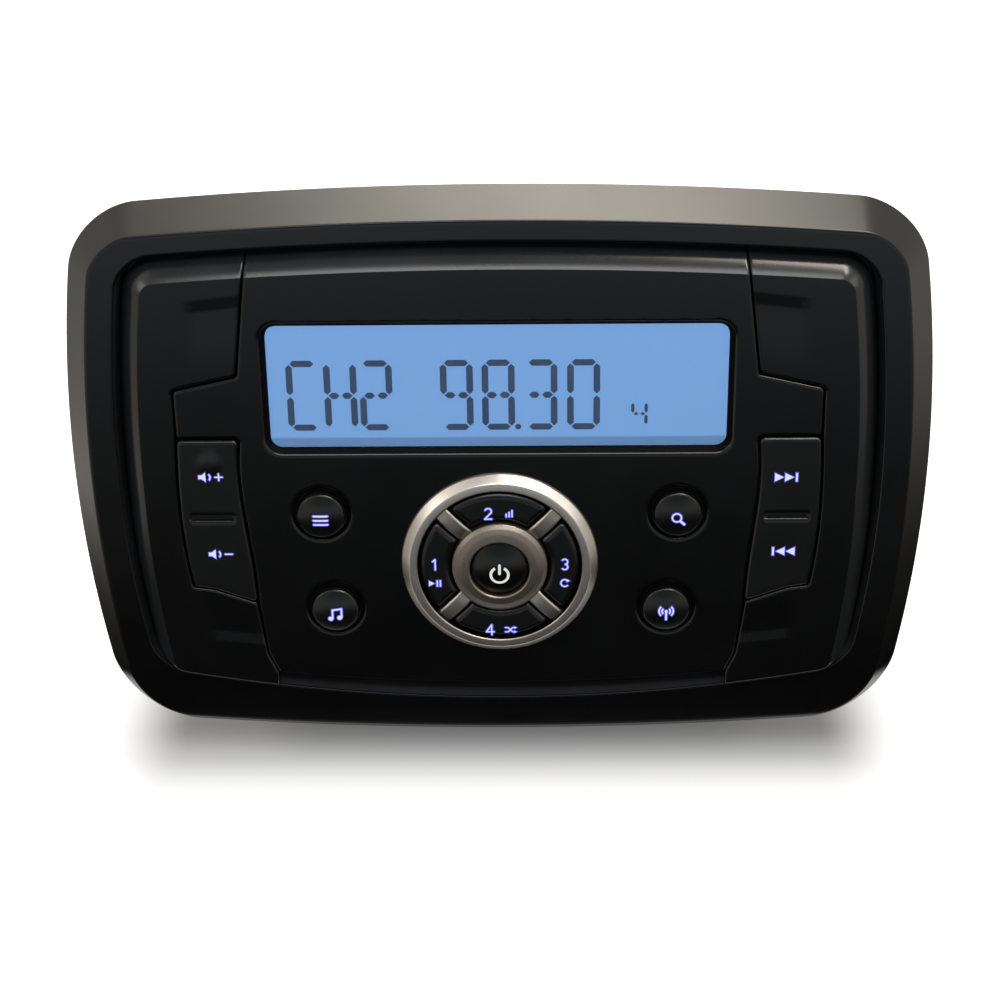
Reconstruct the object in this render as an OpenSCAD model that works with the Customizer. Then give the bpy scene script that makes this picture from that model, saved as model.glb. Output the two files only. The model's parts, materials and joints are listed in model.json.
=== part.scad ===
// Flush-mount marine stereo: a bowed bezel with a sloped rim, a fascia with display and keys,
// two snap-on side covers, and a sealed chassis with a finned rear cover behind the panel.
// Pieces are drawn in a face frame, X right, Y up and Z towards the viewer, from the panel plane.
// upright() turns that frame so that +Z is up and the front faces -Y.

/* [Bezel] */
// Overall width of the bezel at its widest
bezel_w = 178; // [170:1:190]
// Overall height of the bezel at its tallest
bezel_h = 124; // [118:1:132]
// How far the flat ring stands in front of the panel
ring_h = 8; // [7:0.1:9]
// How far the sloped rim leans in, from the panel to the flat ring
rim_inset = 5.2; // [3:0.1:6]
// Radius of the bezel's lower outer corners
bezel_r = 16.5; // [14:0.5:20]
// Radius of the bezel's upper outer corners
bezel_top_r = 13.5; // [11:0.5:17]
// Width of the flat ring at the sides
ring_side = 5.6; // [4.5:0.1:7]
// Width of the flat ring at the top
ring_top = 4.3; // [3:0.1:6]
// Width of the flat ring at the bottom
ring_bottom = 7.2; // [6:0.1:9]
// Radius of the bow in the bezel's sides
side_bow = 320; // [280:5:400]
// Height above the centre at which the bezel is widest
side_mid = 4.3; // [0:0.1:8]
// Radius of the bow in the bezel's top and bottom
top_bow = 1000; // [850:10:1250]
// Radius of the bow in the lower edge of the recess
low_bow = 400; // [350:10:600]
// Thickness of the bezel's flange under the fascia
flange_t = 2.5; // [2:0.1:3]
// Draft of the recess wall at the sides and top
recess_draft = 1; // [0.5:0.1:1.5]
// Run of the sloped ledge at the bottom of the recess
ledge_run = 4; // [3:0.1:5]
// Thickness of the rim's walls round the hollow in its rear
rim_wall = 2.6; // [2:0.1:3]

/* [Fascia and side covers] */
// Height of the fascia's front face above the panel
face_h = 9.4; // [9:0.1:10]
// Wall of the fascia and the side covers
face_wall = 2; // [1.6:0.1:2.2]
// Gap between the recess wall and the fascia
face_gap = 0.5; // [0.3:0.1:0.8]
// Width of the rounded shoulder along the fascia's edge
shoulder_w = 4.2; // [3:0.1:5]
// Gap along the seams between the fascia and the side covers
seam_gap = 0.3; // [0.2:0.05:0.4]
// Half width of the fascia at its top edge
seam_top_x = 47.6; // [46:0.1:49]
// Half width of the fascia above the rockers
seam_mid_x = 52.2; // [51:0.1:53]
// Height of the lower end of the upper seam
seam_mid_z = 25; // [24:0.5:26]
// Half width of the ears above the rockers
ear_x = 65.3; // [64.5:0.1:66]
// Height of the ears' outer corner
ear_z = 22; // [20:0.5:23]
// Half width of the fascia at its bottom edge
seam_low_x = 47.4; // [46:0.1:48]
// Distance of the fascia's lower corners from the lower lip of the recess
seam_low_z = 6.9; // [6.1:0.1:7.6]
// Distance of the fascia's bottom edge from that lip, on the centre line
face_bottom = 4.3; // [3.6:0.1:4.6]
// Depth of the shallow scoop in each side cover
scoop_depth = 0.9; // [0.5:0.1:1.1]
// Half width at which the scoop runs out
scoop_out_x = 62.5; // [61:0.5:64]
// Distance of the scoop's upper step from the upper lip of the recess
scoop_top = 11.5; // [10.5:0.5:13.5]
// Distance of the scoop's lower step from the lower lip of the recess
scoop_low = 15.1; // [13.6:0.5:16.6]

/* [Display] */
// Width of the display opening
display_w = 93; // [88:0.5:94]
// Height of the display opening
display_h = 26.6; // [24:0.1:27]
// Height of the display's centre
display_z = 22.3; // [22:0.1:22.6]
// Radius of the display opening's corners
display_r = 2; // [1.5:0.1:2.5]
// Chamfer round the display opening
display_chamfer = 1.1; // [0.8:0.1:1.2]
// Thickness of the clear window
window_t = 1.2; // [1:0.1:1.4]
// Width of the window's flange behind the fascia
window_lip = 1.6; // [1.2:0.1:1.8]
// Thickness of the liquid crystal glass
glass_t = 1.2; // [1:0.1:1.3]

/* [Keys] */
// Radius of the round keys
key_r = 4.85; // [4.5:0.05:5]
// How far the round keys stand in front of the fascia
key_proud = 2.1; // [1.8:0.1:2.4]
// Radius of the dish round each key
dish_r = 6.45; // [6:0.05:6.8]
// Depth of the dish
dish_depth = 0.9; // [0.6:0.1:1]
// Distance of the upper keys from the centre line
upper_key_x = 36.7; // [35:0.1:38]
// Height of the upper keys
upper_key_z = -5.2; // [-5.6:0.1:-5]
// Distance of the lower keys from the centre line
lower_key_x = 34.7; // [33:0.1:36]
// Height of the lower keys
lower_key_z = -27.1; // [-28:0.1:-26]
// Travel of every push key
key_travel = 0.7; // [0.5:0.05:0.8]
// Gap between a key and its hole
key_gap = 0.25; // [0.2:0.05:0.3]
// Gap between a key's flange and what retains it
flange_gap = 0.3; // [0.25:0.05:0.35]
// Thickness of a key's flange
key_flange = 0.9; // [0.8:0.1:1]
// Width of a key's flange
key_lip = 1; // [0.8:0.1:1.2]

/* [Trim ring] */
// Height of the trim ring's centre
pad_z = -16.5; // [-17.5:0.1:-15.5]
// Outer radius of the trim ring
ring_r = 20.5; // [20:0.1:21]
// Radius of the rounded crest of the outer ring
crest_r = 18.8; // [18.5:0.1:19]
// Inner radius of the outer ring
ring_in_r = 17.1; // [16.8:0.1:17.4]
// Outer radius of the hub ring
hub_r = 9.9; // [9.5:0.1:10.2]
// Radius of the hole in the hub ring
hub_hole_r = 7; // [6.8:0.05:7.2]
// Width of each spoke
spoke_w = 3.1; // [2.6:0.1:3.4]
// Height of the outer ring above the fascia
ring_rise = 2.3; // [2:0.1:2.6]
// Height of the hub ring above the fascia
hub_rise = 3.9; // [3.5:0.1:4.2]
// Height of the preset keys above the fascia
preset_rise = 2; // [1.6:0.1:2.2]
// Height of the power key's crown above the fascia
power_rise = 3.9; // [3.5:0.1:4.3]
// Length of the trim ring's skirt inside the fascia
skirt_h = 1; // [0.8:0.1:1.2]

/* [Rockers] */
// Height of a rocker's top edge
rocker_top = 11.4; // [11:0.1:12]
// Height of a rocker's inner lower corner
rocker_low_in = -25.6; // [-26:0.1:-25]
// Height of a rocker's outer lower corner
rocker_low_out = -21.8; // [-22.5:0.1:-21]
// Half width at a rocker's inner edge, at the top
rocker_in_x = 52.9; // [52.6:0.1:53.2]
// Half width at a rocker's inner edge, at the bottom
rocker_in_low_x = 51.2; // [51:0.1:51.6]
// Half width at a rocker's outer edge, at the bottom
rocker_out_low_x = 64.1; // [63.5:0.1:64.6]
// Bow of a rocker's long edges
rocker_bow = 0.9; // [0.5:0.1:1.1]
// How far the rockers stand in front of the fascia
rocker_proud = 0.4; // [0.2:0.1:0.6]
// Thickness of a rocker's plate
rocker_t = 1.8; // [1.6:0.1:2]
// Height of the rocker's pivot
pivot_z = -6; // [-7:0.1:-5]
// Height of the pivot above the panel
pivot_h = 6.4; // [6.3:0.05:6.5]
// Radius of the pivot pin
pivot_r = 0.9; // [0.8:0.05:1]
// Running clearance of the pivot pin, on the radius
pivot_clear = 0.05; // [0.03:0.01:0.08]
// Gap round each rocker
rocker_gap = 0.4; // [0.35:0.05:0.5]
// Length of the groove across a rocker
groove_len = 9.2; // [8:0.1:10]
// Width of that groove
groove_w = 1.1; // [0.8:0.1:1.4]
// Depth of that groove
groove_depth = 0.6; // [0.4:0.1:0.8]
// Distance of a rocker's switch posts from the pivot
post_reach = 10; // [9:0.5:11]
// Radius of the rocker's switch posts
post_r = 1.5; // [1.2:0.1:1.8]

/* [Front board] */
// Thickness of the circuit boards
board_t = 1.6; // [1.4:0.1:1.7]
// Half width of the front board
board_x = 48.6; // [47:0.2:49]
// Distance of the front board's top edge from the upper lip of the recess
board_top = 14.5; // [13.5:0.5:15.5]
// Distance of its bottom edge from the lower lip of the recess
board_low = 10.1; // [9.6:0.5:10.6]
// Half width of the front board's tabs behind the rockers
tab_x = 63.5; // [62:0.5:64]
// Top edge of the tabs
tab_top = 8.5; // [8:0.5:9]
// Bottom edge of the tabs
tab_low = -19.5; // [-20:0.5:-19]
// Thickness of the key mat
mat_t = 0.8; // [0.6:0.1:0.9]
// Radius of the key mat's pads
pad_r = 2; // [1.6:0.1:2.4]

/* [Panel mount] */
// Height between the panel screws
panel_screw_dz = 66; // [60:1:70]
// Radius of the panel screw holes
panel_hole_r = 2.25; // [2:0.05:2.6]
// Width of the panel gasket
gasket_w = 3.5; // [3:0.1:4]
// Depth of the gasket's channel
gasket_t = 1; // [0.8:0.1:1.2]
// Land between the chassis and the gasket
gasket_land = 3; // [2.5:0.1:3.5]
// Distance from the gasket to the centre of a panel screw
screw_edge = 3.5; // [3.2:0.1:4]

/* [Chassis] */
// Width of the chassis
chassis_w = 110; // [106:1:112]
// Height of the chassis
chassis_h = 82; // [78:1:84]
// Depth of the chassis behind the panel
chassis_d = 38; // [36:1:44]
// Wall of the chassis
chassis_wall = 2; // [1.6:0.1:2.4]
// Radius of the chassis corners
chassis_r = 4; // [3:0.5:5]
// Radius of the screw bosses in the chassis corners
boss_r = 4; // [3.6:0.1:4.4]
// Width of the chassis rims that carry the seals
rim_w = 5; // [4.6:0.1:5.6]
// Thickness of those rims
rim_t = 3; // [2.6:0.1:3.4]
// Width of the seals in the chassis rims
seal_w = 1.4; // [1.2:0.05:1.5]
// Depth of the grooves for those seals
seal_t = 1.2; // [1:0.1:1.4]
// Land between the chassis wall and the seals
seal_land = 0.4; // [0.3:0.05:0.5]
// Thickness of the rear cover
cover_t = 3; // [2.6:0.1:3.6]
// Depth of the cooling fins
fin_d = 8; // [6:0.5:10]
// Thickness of a cooling fin
fin_t = 2; // [1.6:0.1:2.4]
// Number of cooling fins
fin_count = 13; // [9:1:15]
// Lower end of the fins
fin_low = 0; // [-2:0.5:2]
// Upper end of the fins
fin_top = 36; // [34:0.5:37]

/* [Inside] */
// Height of the main board's top face
main_z = -27; // [-28:0.5:-26]
// Width of the main board
main_w = 92; // [88:1:94]
// Gap between the main board and the rear cover
main_gap = 1.4; // [1:0.1:2]
// Depth of the main board
main_d = 30; // [28:0.5:31]
// Width of the two rails under the main board
rail_w = 4; // [3:0.5:5]
// Width of the header between the boards
header_w = 24; // [20:1:28]
// Height of that header
header_h = 6; // [5:0.5:7]
// Length of that header along the main board
header_seat = 5.4; // [4:0.2:6]
// Position of the amplifier chip from the centre line
amp_x = 3.2; // [2.5:0.1:4]
// Width of the amplifier chip
amp_w = 19; // [16:0.5:20]
// Height of the amplifier chip
amp_h = 17; // [14:0.5:19]
// Thickness of the amplifier chip
amp_t = 4.5; // [4:0.1:5]
// Width of the tuner module
tuner_w = 28; // [24:1:29]
// Depth of the tuner module
tuner_d = 15; // [12:0.5:16]
// Height of the tuner module
tuner_h = 9; // [7:0.5:11]
// Radius of the supply capacitors
capacitor_r = 5; // [4:0.1:5.2]
// Height of the supply capacitors
capacitor_h = 16; // [12:0.5:20]

/* [Sockets] */
// Width of the power socket
power_w = 30; // [26:1:32]
// Height of the power socket
power_h = 15; // [13:0.5:16]
// How far the sockets stand behind the rear cover
socket_out = 6; // [5:0.5:7]
// Wall of the power socket
power_wall = 1.6; // [1.2:0.1:1.8]
// Position of the power socket's centre from the centre line
power_x = 29.5; // [29:0.5:30]
// Outer radius of the aerial socket
aerial_r = 6; // [5.5:0.1:6.5]
// Bore radius of the aerial socket
aerial_bore_r = 4.2; // [4:0.05:4.4]
// Position of the aerial socket from the centre line
aerial_x = -39.5; // [-40:0.5:-39]
// Outer radius of a phono socket
phono_r = 4.15; // [4:0.05:4.3]
// Bore radius of a phono socket
phono_bore_r = 1.6; // [1.5:0.05:1.8]
// Position of the phono pair from the centre line
phono_x = -19; // [-20:0.5:-18]
// Distance between the two phono sockets
phono_pitch = 14; // [13:0.5:16]
// Gap round each socket in the rear cover
socket_gap = 0.2; // [0.15:0.05:0.3]
// Depth of the sockets' bodies inside the chassis
socket_in = 10; // [9:0.5:11]
// Depth of the bores and the cavity in the sockets
socket_bore = 12; // [11:0.5:13]
// Length of the contacts in the sockets
contact_len = 5.5; // [4.5:0.1:6]

/* [Screws] */
// Radius of the screws' shanks
screw_r = 1.45; // [1.3:0.05:1.5]
// Clearance round a screw, on the radius
screw_clear = 0.1; // [0.05:0.05:0.2]
// Radius of the screws' heads
head_r = 2.75; // [2.5:0.05:3]
// Height of the screws' heads
head_h = 1.7; // [1.5:0.1:1.8]
// Length of the screws' shanks
screw_len = 9; // [8:0.5:10]

/* [Hidden] */

$fn = 64;
corner_steps = 6;
side_steps = 6;
shoulder_steps = 5;
overlap = 0.1;
cover_seat = 0.05;
mat_room = 0.6;
board_room = 0.4;
dish_land = 0.2;
skirt_t = 1.8;
guide_side = 3;
led_size = [1.6, 3];
seat_clear = 0.1;

black = [0.05, 0.05, 0.055];
satin_black = [0.09, 0.09, 0.095];
silver = [0.74, 0.72, 0.69];
board_green = [0.05, 0.28, 0.14];
steel = [0.7, 0.71, 0.72];

// Half sizes of the bezel at the panel, of its flat ring and of the recess mouth
rear_x = bezel_w / 2;
rear_z = bezel_h / 2;
mouth_x = rear_x - rim_inset - ring_side;
mouth_top = rear_z - rim_inset - ring_top;
mouth_low = -(rear_z - rim_inset - ring_bottom);
mouth_r = 7;
recess_depth = ring_h - flange_t;
rim_slope = 0.6;

// Heights that follow the lips of the recess
corner_z = mouth_low + seam_low_z;
bottom_z = mouth_low + face_bottom;
scoop_top_z = mouth_top - scoop_top;
scoop_low_z = mouth_low + scoop_low;
board_top_z = mouth_top - board_top;
board_low_z = mouth_low + board_low;
seam_bend = [2, 4.5];

// Levels in front of the panel
inner_h = face_h - face_wall;
board_h = flange_t + board_t;
mat_h = board_h + mat_t;
key_flange_h = inner_h - flange_gap;
key_foot = key_flange_h - key_flange;
pad_h = key_foot - key_travel - flange_gap;
window_h = face_h - display_chamfer - 0.3;
window_lip_h = inner_h;
glass_h = window_h - window_t - 0.2;
guide_h = glass_h - glass_t;
skirt_low = face_h - skirt_h;
preset_flange_h = skirt_low - flange_gap;
hub_low = face_h;
power_flange_h = hub_low - flange_gap;

// Panel mount
gasket_in_x = chassis_w / 2 + gasket_land;
gasket_in_z = chassis_h / 2 + gasket_land;
panel_screw_x = gasket_in_x + gasket_w + screw_edge;
panel_screw_z = panel_screw_dz / 2;

// Chassis bosses, sunk a little into the walls, and screws
boss_sink = 0.3;
boss_x = chassis_w / 2 - chassis_wall - boss_r + boss_sink;
boss_z = chassis_h / 2 - chassis_wall - boss_r + boss_sink;
hole_r = screw_r + screw_clear;
rear_face = -chassis_d - cover_t;
socket_z = main_z + cover_seat + power_h / 2;
socket_front = socket_in - chassis_d;
socket_end = rear_face - socket_out;
main_front = -chassis_d + main_gap + main_d;
main_fix_end = 4;
main_fix_h = [main_front - main_fix_end, socket_front + main_fix_end];
rail_foot = chassis_wall * 0.7 - chassis_h / 2;
amp_screw_z = main_z + amp_h - 3;

// Fixings of the front board above and below the round keys, and pegs of the side covers
board_fix_in = [5.6, 9];
board_fix_off = [4.2, -4.4];
board_fix = [[seam_mid_x - board_fix_in[0], upper_key_z + board_fix_off[0]],
    [seam_mid_x - board_fix_in[1], lower_key_z + board_fix_off[1]]];
peg_in = [18, 6];
peg_low = [6.5, 3.5];
cover_pegs = [[rear_x - peg_in[0], ear_z - peg_low[0]], [seam_mid_x + peg_in[1], scoop_low_z - peg_low[1]]];
peg_r = 1.5;
peg_depth = 1.4;

// Points of an arc about c
function arc(c, r, from, to, steps) =
    [for (i = [0 : steps]) let (a = from + (to - from) * i / steps) c + r * [cos(a), sin(a)]];

// Points strictly between two points
function between(p, q) = [for (i = [1 : side_steps - 1]) p + (q - p) * i / side_steps];

// A rounded rectangle with upper corners of radius t, anticlockwise from its right side
function round_box(x, top, low, r, t) = concat(
    between([x, low + r], [x, top - t]),
    arc([x - t, top - t], t, 0, 90, corner_steps),
    between([x - t, top], [t - x, top]),
    arc([t - x, top - t], t, 90, 180, corner_steps),
    between([-x, top - t], [-x, low + r]),
    arc([r - x, low + r], r, 180, 270, corner_steps),
    between([r - x, low], [x - r, low]),
    arc([x - r, low + r], r, 270, 360, corner_steps));

// The same rectangle with its sides, top and bottom bowed outwards
function bowed(x, top, low, r, t, bow_low) = [
    for (p = round_box(x, top, low, r, t)) [
        p[0] * (1 - pow(p[1] - side_mid, 2) / (2 * side_bow * x)),
        p[1] * (1 - pow(p[0], 2) / (2 * (p[1] > 0 ? top_bow * top : -bow_low * low)))]];

// Bezel outline, drawn in by an inset
function bezel_outline(inset) =
    bowed(rear_x - inset, rear_z - inset, inset - rear_z, bezel_r - inset, bezel_top_r - inset, top_bow);

// Recess outline at a height above the flange, drawn in by an inset
function recess_outline(h, inset) =
    let (k = 1 - (h - flange_t) / recess_depth, side = inset + recess_draft * max(k, 0))
    let (r = max(mouth_r - side, 1.2))
    bowed(mouth_x - side, mouth_top - side, mouth_low + inset + ledge_run * max(k, 0), r, r, low_bow);

// Lifts a flat outline to a height
function at(points, h) = [for (p = points) [p[0], p[1], h]];

// Outlines of the covered island that fills the recess, from its foot over its rounded shoulder
function island_rings(wall, foot) =
    let (turn_h = face_h - shoulder_w, top_h = face_h - wall)
    concat(
        [at(recess_outline(flange_t, face_gap + wall), foot)],
        [for (i = [0 : shoulder_steps])
            let (a = 90 * i / shoulder_steps, h = turn_h + (top_h - turn_h) * sin(a))
            at(recess_outline(turn_h, face_gap + wall + (shoulder_w - wall / 2) * (1 - cos(a))), h)]);

// A solid skinned over a stack of outlines with equal numbers of points
module loft(rings) {
    n = len(rings[0]);
    points = [for (ring = rings) each ring];
    sides = [for (k = [0 : len(rings) - 2], i = [0 : n - 1])
        let (j = (i + 1) % n, a = k * n, b = a + n)
        each [[b + i, b + j, a + j], [b + i, a + j, a + i]]];
    low = [for (i = [0 : n - 1]) i];
    high = [for (i = [n - 1 : -1 : 0]) (len(rings) - 1) * n + i];
    polyhedron(points, concat([low], sides, [high]));
}

module upright() rotate([90, 0, 0]) children();
module slab(low, high) translate([0, 0, low]) linear_extrude(high - low) children();
module post(place, r, low, high) translate([place[0], place[1], low]) cylinder(r = r, h = high - low);
module both_sides() {
    children();
    mirror([1, 0, 0]) children();
}
module four_corners(x, z) for (sx = [-1, 1], sz = [-1, 1]) translate([sx * x, sz * z, 0]) children();
module rect(x, low_z, high_z) translate([-x, low_z]) square([2 * x, high_z - low_z]);
module round_rect(w, h, r) {
    square([w, h - 2 * r], center = true);
    square([w - 2 * r, h], center = true);
    four_corners(w / 2 - r, h / 2 - r) circle(r);
}

// Flat outline of the right rocker
module rocker_shape() {
    outer = [rocker_out_low_x, rocker_low_out];
    mid_z = (rocker_top + rocker_low_in) / 2;
    polygon([
        [rocker_in_x, rocker_top], [rocker_in_x + rocker_bow / 2, mid_z + 9], [rocker_in_x, mid_z + 2],
        [rocker_in_low_x, rocker_low_in], [rocker_out_low_x - 4, rocker_low_out - 0.6], outer,
        [(ear_x + rocker_out_low_x) / 2 + rocker_bow, mid_z], [ear_x + rocker_bow / 3, mid_z + 12],
        [ear_x, rocker_top]]);
}

// Points of the fascia's right edge, from the middle of its bottom up and round the ear over the rocker
fascia_bottom = [for (i = [1 : side_steps])
    let (k = i / side_steps) [seam_low_x * k, bottom_z + (corner_z - bottom_z) * k * k]];
fascia_edge = concat(fascia_bottom, [
    [seam_low_x, corner_z] + seam_bend, [rocker_in_low_x, rocker_low_in],
    [rocker_in_x, (rocker_top + rocker_low_in) / 2], [rocker_in_x, rocker_top], [ear_x, rocker_top],
    [ear_x, ear_z], [seam_mid_x, seam_mid_z], [seam_top_x, rear_z]]);

// Flat outline of the fascia, before the rockers' gaps are cut
module fascia_whole() polygon(concat(
    fascia_edge, [for (i = [len(fascia_edge) - 1 : -1 : 0]) [-fascia_edge[i][0], fascia_edge[i][1]]]));

module fascia_shape() difference() {
    fascia_whole();
    both_sides() offset(delta = rocker_gap) rocker_shape();
}

// Flat outline of the right side cover
module cover_shape() {
    difference() {
        translate([0, -rear_z]) square([rear_x, bezel_h]);
        offset(delta = seam_gap) fascia_whole();
        offset(delta = rocker_gap) rocker_shape();
        rect(seam_low_x + seam_gap, -rear_z, corner_z + 1);
    }
}

module board_shape() {
    rect(board_x, board_low_z, board_top_z);
    rect(tab_x, tab_low, tab_top);
}

// Seats of the four round keys, the four preset keys and the power key
round_keys = [[-upper_key_x, upper_key_z], [-lower_key_x, lower_key_z],
    [upper_key_x, upper_key_z], [lower_key_x, lower_key_z]];
preset_mid_r = (hub_r + ring_in_r) / 2;
preset_keys = [for (a = [180, 90, 0, 270]) [preset_mid_r * cos(a), pad_z + preset_mid_r * sin(a)]];
rocker_x = (rocker_in_x + ear_x) / 2;
rocker_posts = [for (sx = [-1, 1], sz = [-1, 1]) [sx * rocker_x, pivot_z + sz * post_reach]];
rail_x = ear_x + rocker_bow + rocker_gap + 0.4;
rail_t = 1.8;
rail_low = mat_h + 0.1;
rail_top = inner_h + 0.4;
rail_foot_half = 2.4;
rail_head = 4;
rail_room = 0.6;
pivot_in = rocker_in_x - rocker_gap - face_wall;
pivot_out = rail_x + rail_t;
crossbar_gap = 0.8;

module bezel() color(satin_black) upright() difference() {
    loft([at(bezel_outline(0), 0), at(bezel_outline(rim_inset), ring_h)]);
    loft([at(recess_outline(flange_t, 0), flange_t), at(recess_outline(ring_h, 0), ring_h),
        at(recess_outline(ring_h, 0), ring_h + 1)]);
    // Hollow in the rear of the rim
    difference() {
        loft([at(bezel_outline(rim_wall + rim_slope), -overlap),
            at(bezel_outline(rim_inset + rim_slope), ring_h - rim_wall)]);
        loft([at(recess_outline(ring_h, -rim_wall), -1), at(recess_outline(ring_h, -rim_wall), ring_h)]);
    }
    // Window for the header between the boards
    slab(-1, flange_t + 1) translate([0, main_z + header_h / 2])
        square([header_w + 3, header_h + 3], center = true);
    slab(-1, gasket_t) gasket_shape(0);
    slab(-1, flange_t + 1) four_corners(panel_screw_x, panel_screw_z) circle(panel_hole_r);
    for (sx = [-1, 1], sz = [-1, 1]) {
        post([sx * boss_x, sz * boss_z], hole_r, -1, flange_t + 1);
        post([sx * boss_x, sz * boss_z], head_r + screw_clear, flange_t - head_h, flange_t + 1);
    }
    both_sides() for (p = cover_pegs) post(p, peg_r + screw_clear, flange_t - peg_depth - 0.2, flange_t + 1);
    both_sides() for (p = board_fix) post(p, hole_r, -1, flange_t + 1);
}

// Flat outline of the panel gasket, drawn in by a fit
module gasket_shape(fit) difference() {
    round_rect(2 * (gasket_in_x + gasket_w - fit), 2 * (gasket_in_z + gasket_w - fit),
        chassis_r + gasket_land + gasket_w - fit);
    round_rect(2 * (gasket_in_x + fit), 2 * (gasket_in_z + fit), chassis_r + gasket_land + fit);
}

// Bearing rail that hangs from the fascia's ear beside the right rocker, on a crossbar above it
module rocker_bearing() {
    translate([rail_x, pivot_z - rail_foot_half, rail_low])
        cube([rail_t, ear_z - rail_head - pivot_z, rail_top - rail_low]);
    translate([rocker_in_x - 1, rocker_top + rocker_gap + crossbar_gap, rail_low])
        cube([rail_x + rail_t - rocker_in_x + 1, rail_t, rail_top - rail_low]);
}

// Bore for the rocker's pin, through the fascia's wall and the rail
module pivot_bore() translate([pivot_in - 1, pivot_z, pivot_h]) rotate([0, 90, 0])
    cylinder(r = pivot_r + pivot_clear, h = pivot_out - pivot_in + 2);

module fascia() color(black) upright() difference() {
    union() {
        difference() {
            intersection() {
                loft(island_rings(0, flange_t + cover_seat));
                slab(0, face_h + 1) fascia_shape();
            }
            intersection() {
                loft(island_rings(face_wall, flange_t - 1));
                slab(0, face_h) offset(delta = -face_wall) fascia_shape();
            }
            slab(0, mat_h + mat_room) offset(delta = board_room) board_shape();
            // Chamfered display opening with the window's seat behind it
            translate([0, display_z, 0]) loft([
                at(display_outline(0), 0), at(display_outline(0), face_h - display_chamfer),
                at(display_outline(display_chamfer), face_h),
                at(display_outline(display_chamfer), face_h + 1)]);
            for (p = round_keys) {
                post(p, key_r + key_gap, 0, face_h + 1);
                translate([p[0], p[1], face_h - dish_depth])
                    cylinder(r1 = key_r + key_gap + dish_land, r2 = dish_r, h = dish_depth + overlap);
            }
            post([0, pad_z], ring_in_r + skirt_t + key_gap, 0, face_h + 1);
        }
        both_sides() rocker_bearing();
        // Bosses that carry the front board
        both_sides() for (p = board_fix) post(p, head_r, board_h + cover_seat, inner_h + overlap);
    }
    both_sides() pivot_bore();
    both_sides() for (p = board_fix) post(p, screw_r, board_h - 1, inner_h - 0.4);
}

// Corner arcs of the display opening, grown outwards
function display_outline(grow) = [for (k = [0 : 3])
    let (sx = (k == 0 || k == 3) ? 1 : -1, sz = k < 2 ? 1 : -1)
    each arc([sx * (display_w / 2 - display_r), sz * (display_h / 2 - display_r)], display_r + grow,
        90 * k, 90 * k + 90, corner_steps)];

// Right side cover: the end of the island, hollow behind, with a shallow scoop beside the seam
module side_cover() color(black) upright() {
    scoop_len = scoop_top_z - scoop_low_z;
    tilt = atan(scoop_depth / (scoop_out_x - seam_mid_x));
    difference() {
        intersection() {
            loft(island_rings(0, flange_t + cover_seat));
            slab(0, face_h + 1) cover_shape();
        }
        intersection() {
            loft(island_rings(face_wall, flange_t - 1));
            slab(0, inner_h - scoop_depth) offset(delta = -face_wall) cover_shape();
        }
        translate([scoop_out_x, scoop_low_z, face_h]) rotate([0, -tilt, 0]) mirror([1, 0, 0])
            cube([scoop_out_x, scoop_len, 3]);
        slab(0, mat_h + mat_room) offset(delta = board_room) board_shape();
        // Room for the bearing rail and its crossbar
        slab(0, rail_top + rail_room) translate([ear_x, pivot_z - rail_foot_half - rail_room])
            square([rail_x + rail_t + rail_room - ear_x, ear_z - pivot_z]);
        slab(0, rail_top + rail_room) translate([seam_mid_x, rocker_top + rocker_gap])
            square([rail_x - seam_mid_x, crossbar_gap + rail_t + rail_room]);
    }
    for (p = cover_pegs) post(p, peg_r, flange_t - peg_depth, inner_h - scoop_depth + overlap);
}
module right_side_cover() side_cover();
module left_side_cover() mirror([1, 0, 0]) side_cover();

module display_window() color([0.75, 0.85, 0.95, 0.4]) upright() translate([0, display_z, 0]) {
    fit = 2 * key_gap;
    slab(window_h - window_t, window_h) round_rect(display_w - fit, display_h - fit, display_r - key_gap);
    slab(window_h - window_t, window_lip_h - cover_seat)
        round_rect(display_w + 2 * window_lip, display_h + 2 * window_lip, display_r + window_lip);
}

module display_glass() color([0.45, 0.62, 0.85]) upright() translate([0, display_z, 0])
    slab(guide_h, glass_h) square([display_w + window_lip, display_h + window_lip], center = true);

module light_guide() color([0.93, 0.95, 0.97]) upright() translate([0, display_z, 0])
    slab(board_h + cover_seat, guide_h - cover_seat)
        square([display_w + window_lip - 2 * guide_side, display_h + window_lip], center = true);

module backlight_leds() color([0.95, 0.93, 0.8]) upright()
    for (sx = [-1, 1], k = [-1, 0, 1])
        translate([sx * (display_w + window_lip - guide_side) / 2, display_z + k * display_h / 3, 0])
            slab(board_h + cover_seat, guide_h - cover_seat) square(led_size, center = true);

// Right rocker: a bowed plate with a groove across its middle, a pivot pin and two switch posts
module rocker() color(black) upright() {
    top = face_h + rocker_proud;
    foot = top - rocker_t;
    difference() {
        union() {
            slab(foot, top - 0.5) rocker_shape();
            slab(top - 0.5 - overlap, top) offset(delta = -0.35) rocker_shape();
        }
        translate([rocker_x - groove_len / 2, pivot_z - groove_w / 2, top - groove_depth])
            cube([groove_len, groove_w, 1]);
    }
    for (sz = [-1, 1]) post([rocker_x, pivot_z + sz * post_reach], post_r, key_foot - 0.2, foot + overlap);
    translate([rocker_in_x + 1.2, pivot_z - pivot_r, pivot_h])
        cube([ear_x - rocker_in_x - 2.4, 2 * pivot_r, foot - pivot_h + overlap]);
    translate([pivot_in, pivot_z, pivot_h]) rotate([0, 90, 0])
        cylinder(r = pivot_r, h = pivot_out - pivot_in);
}
module seek_rocker() rocker();
module volume_rocker() mirror([1, 0, 0]) rocker();

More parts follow.
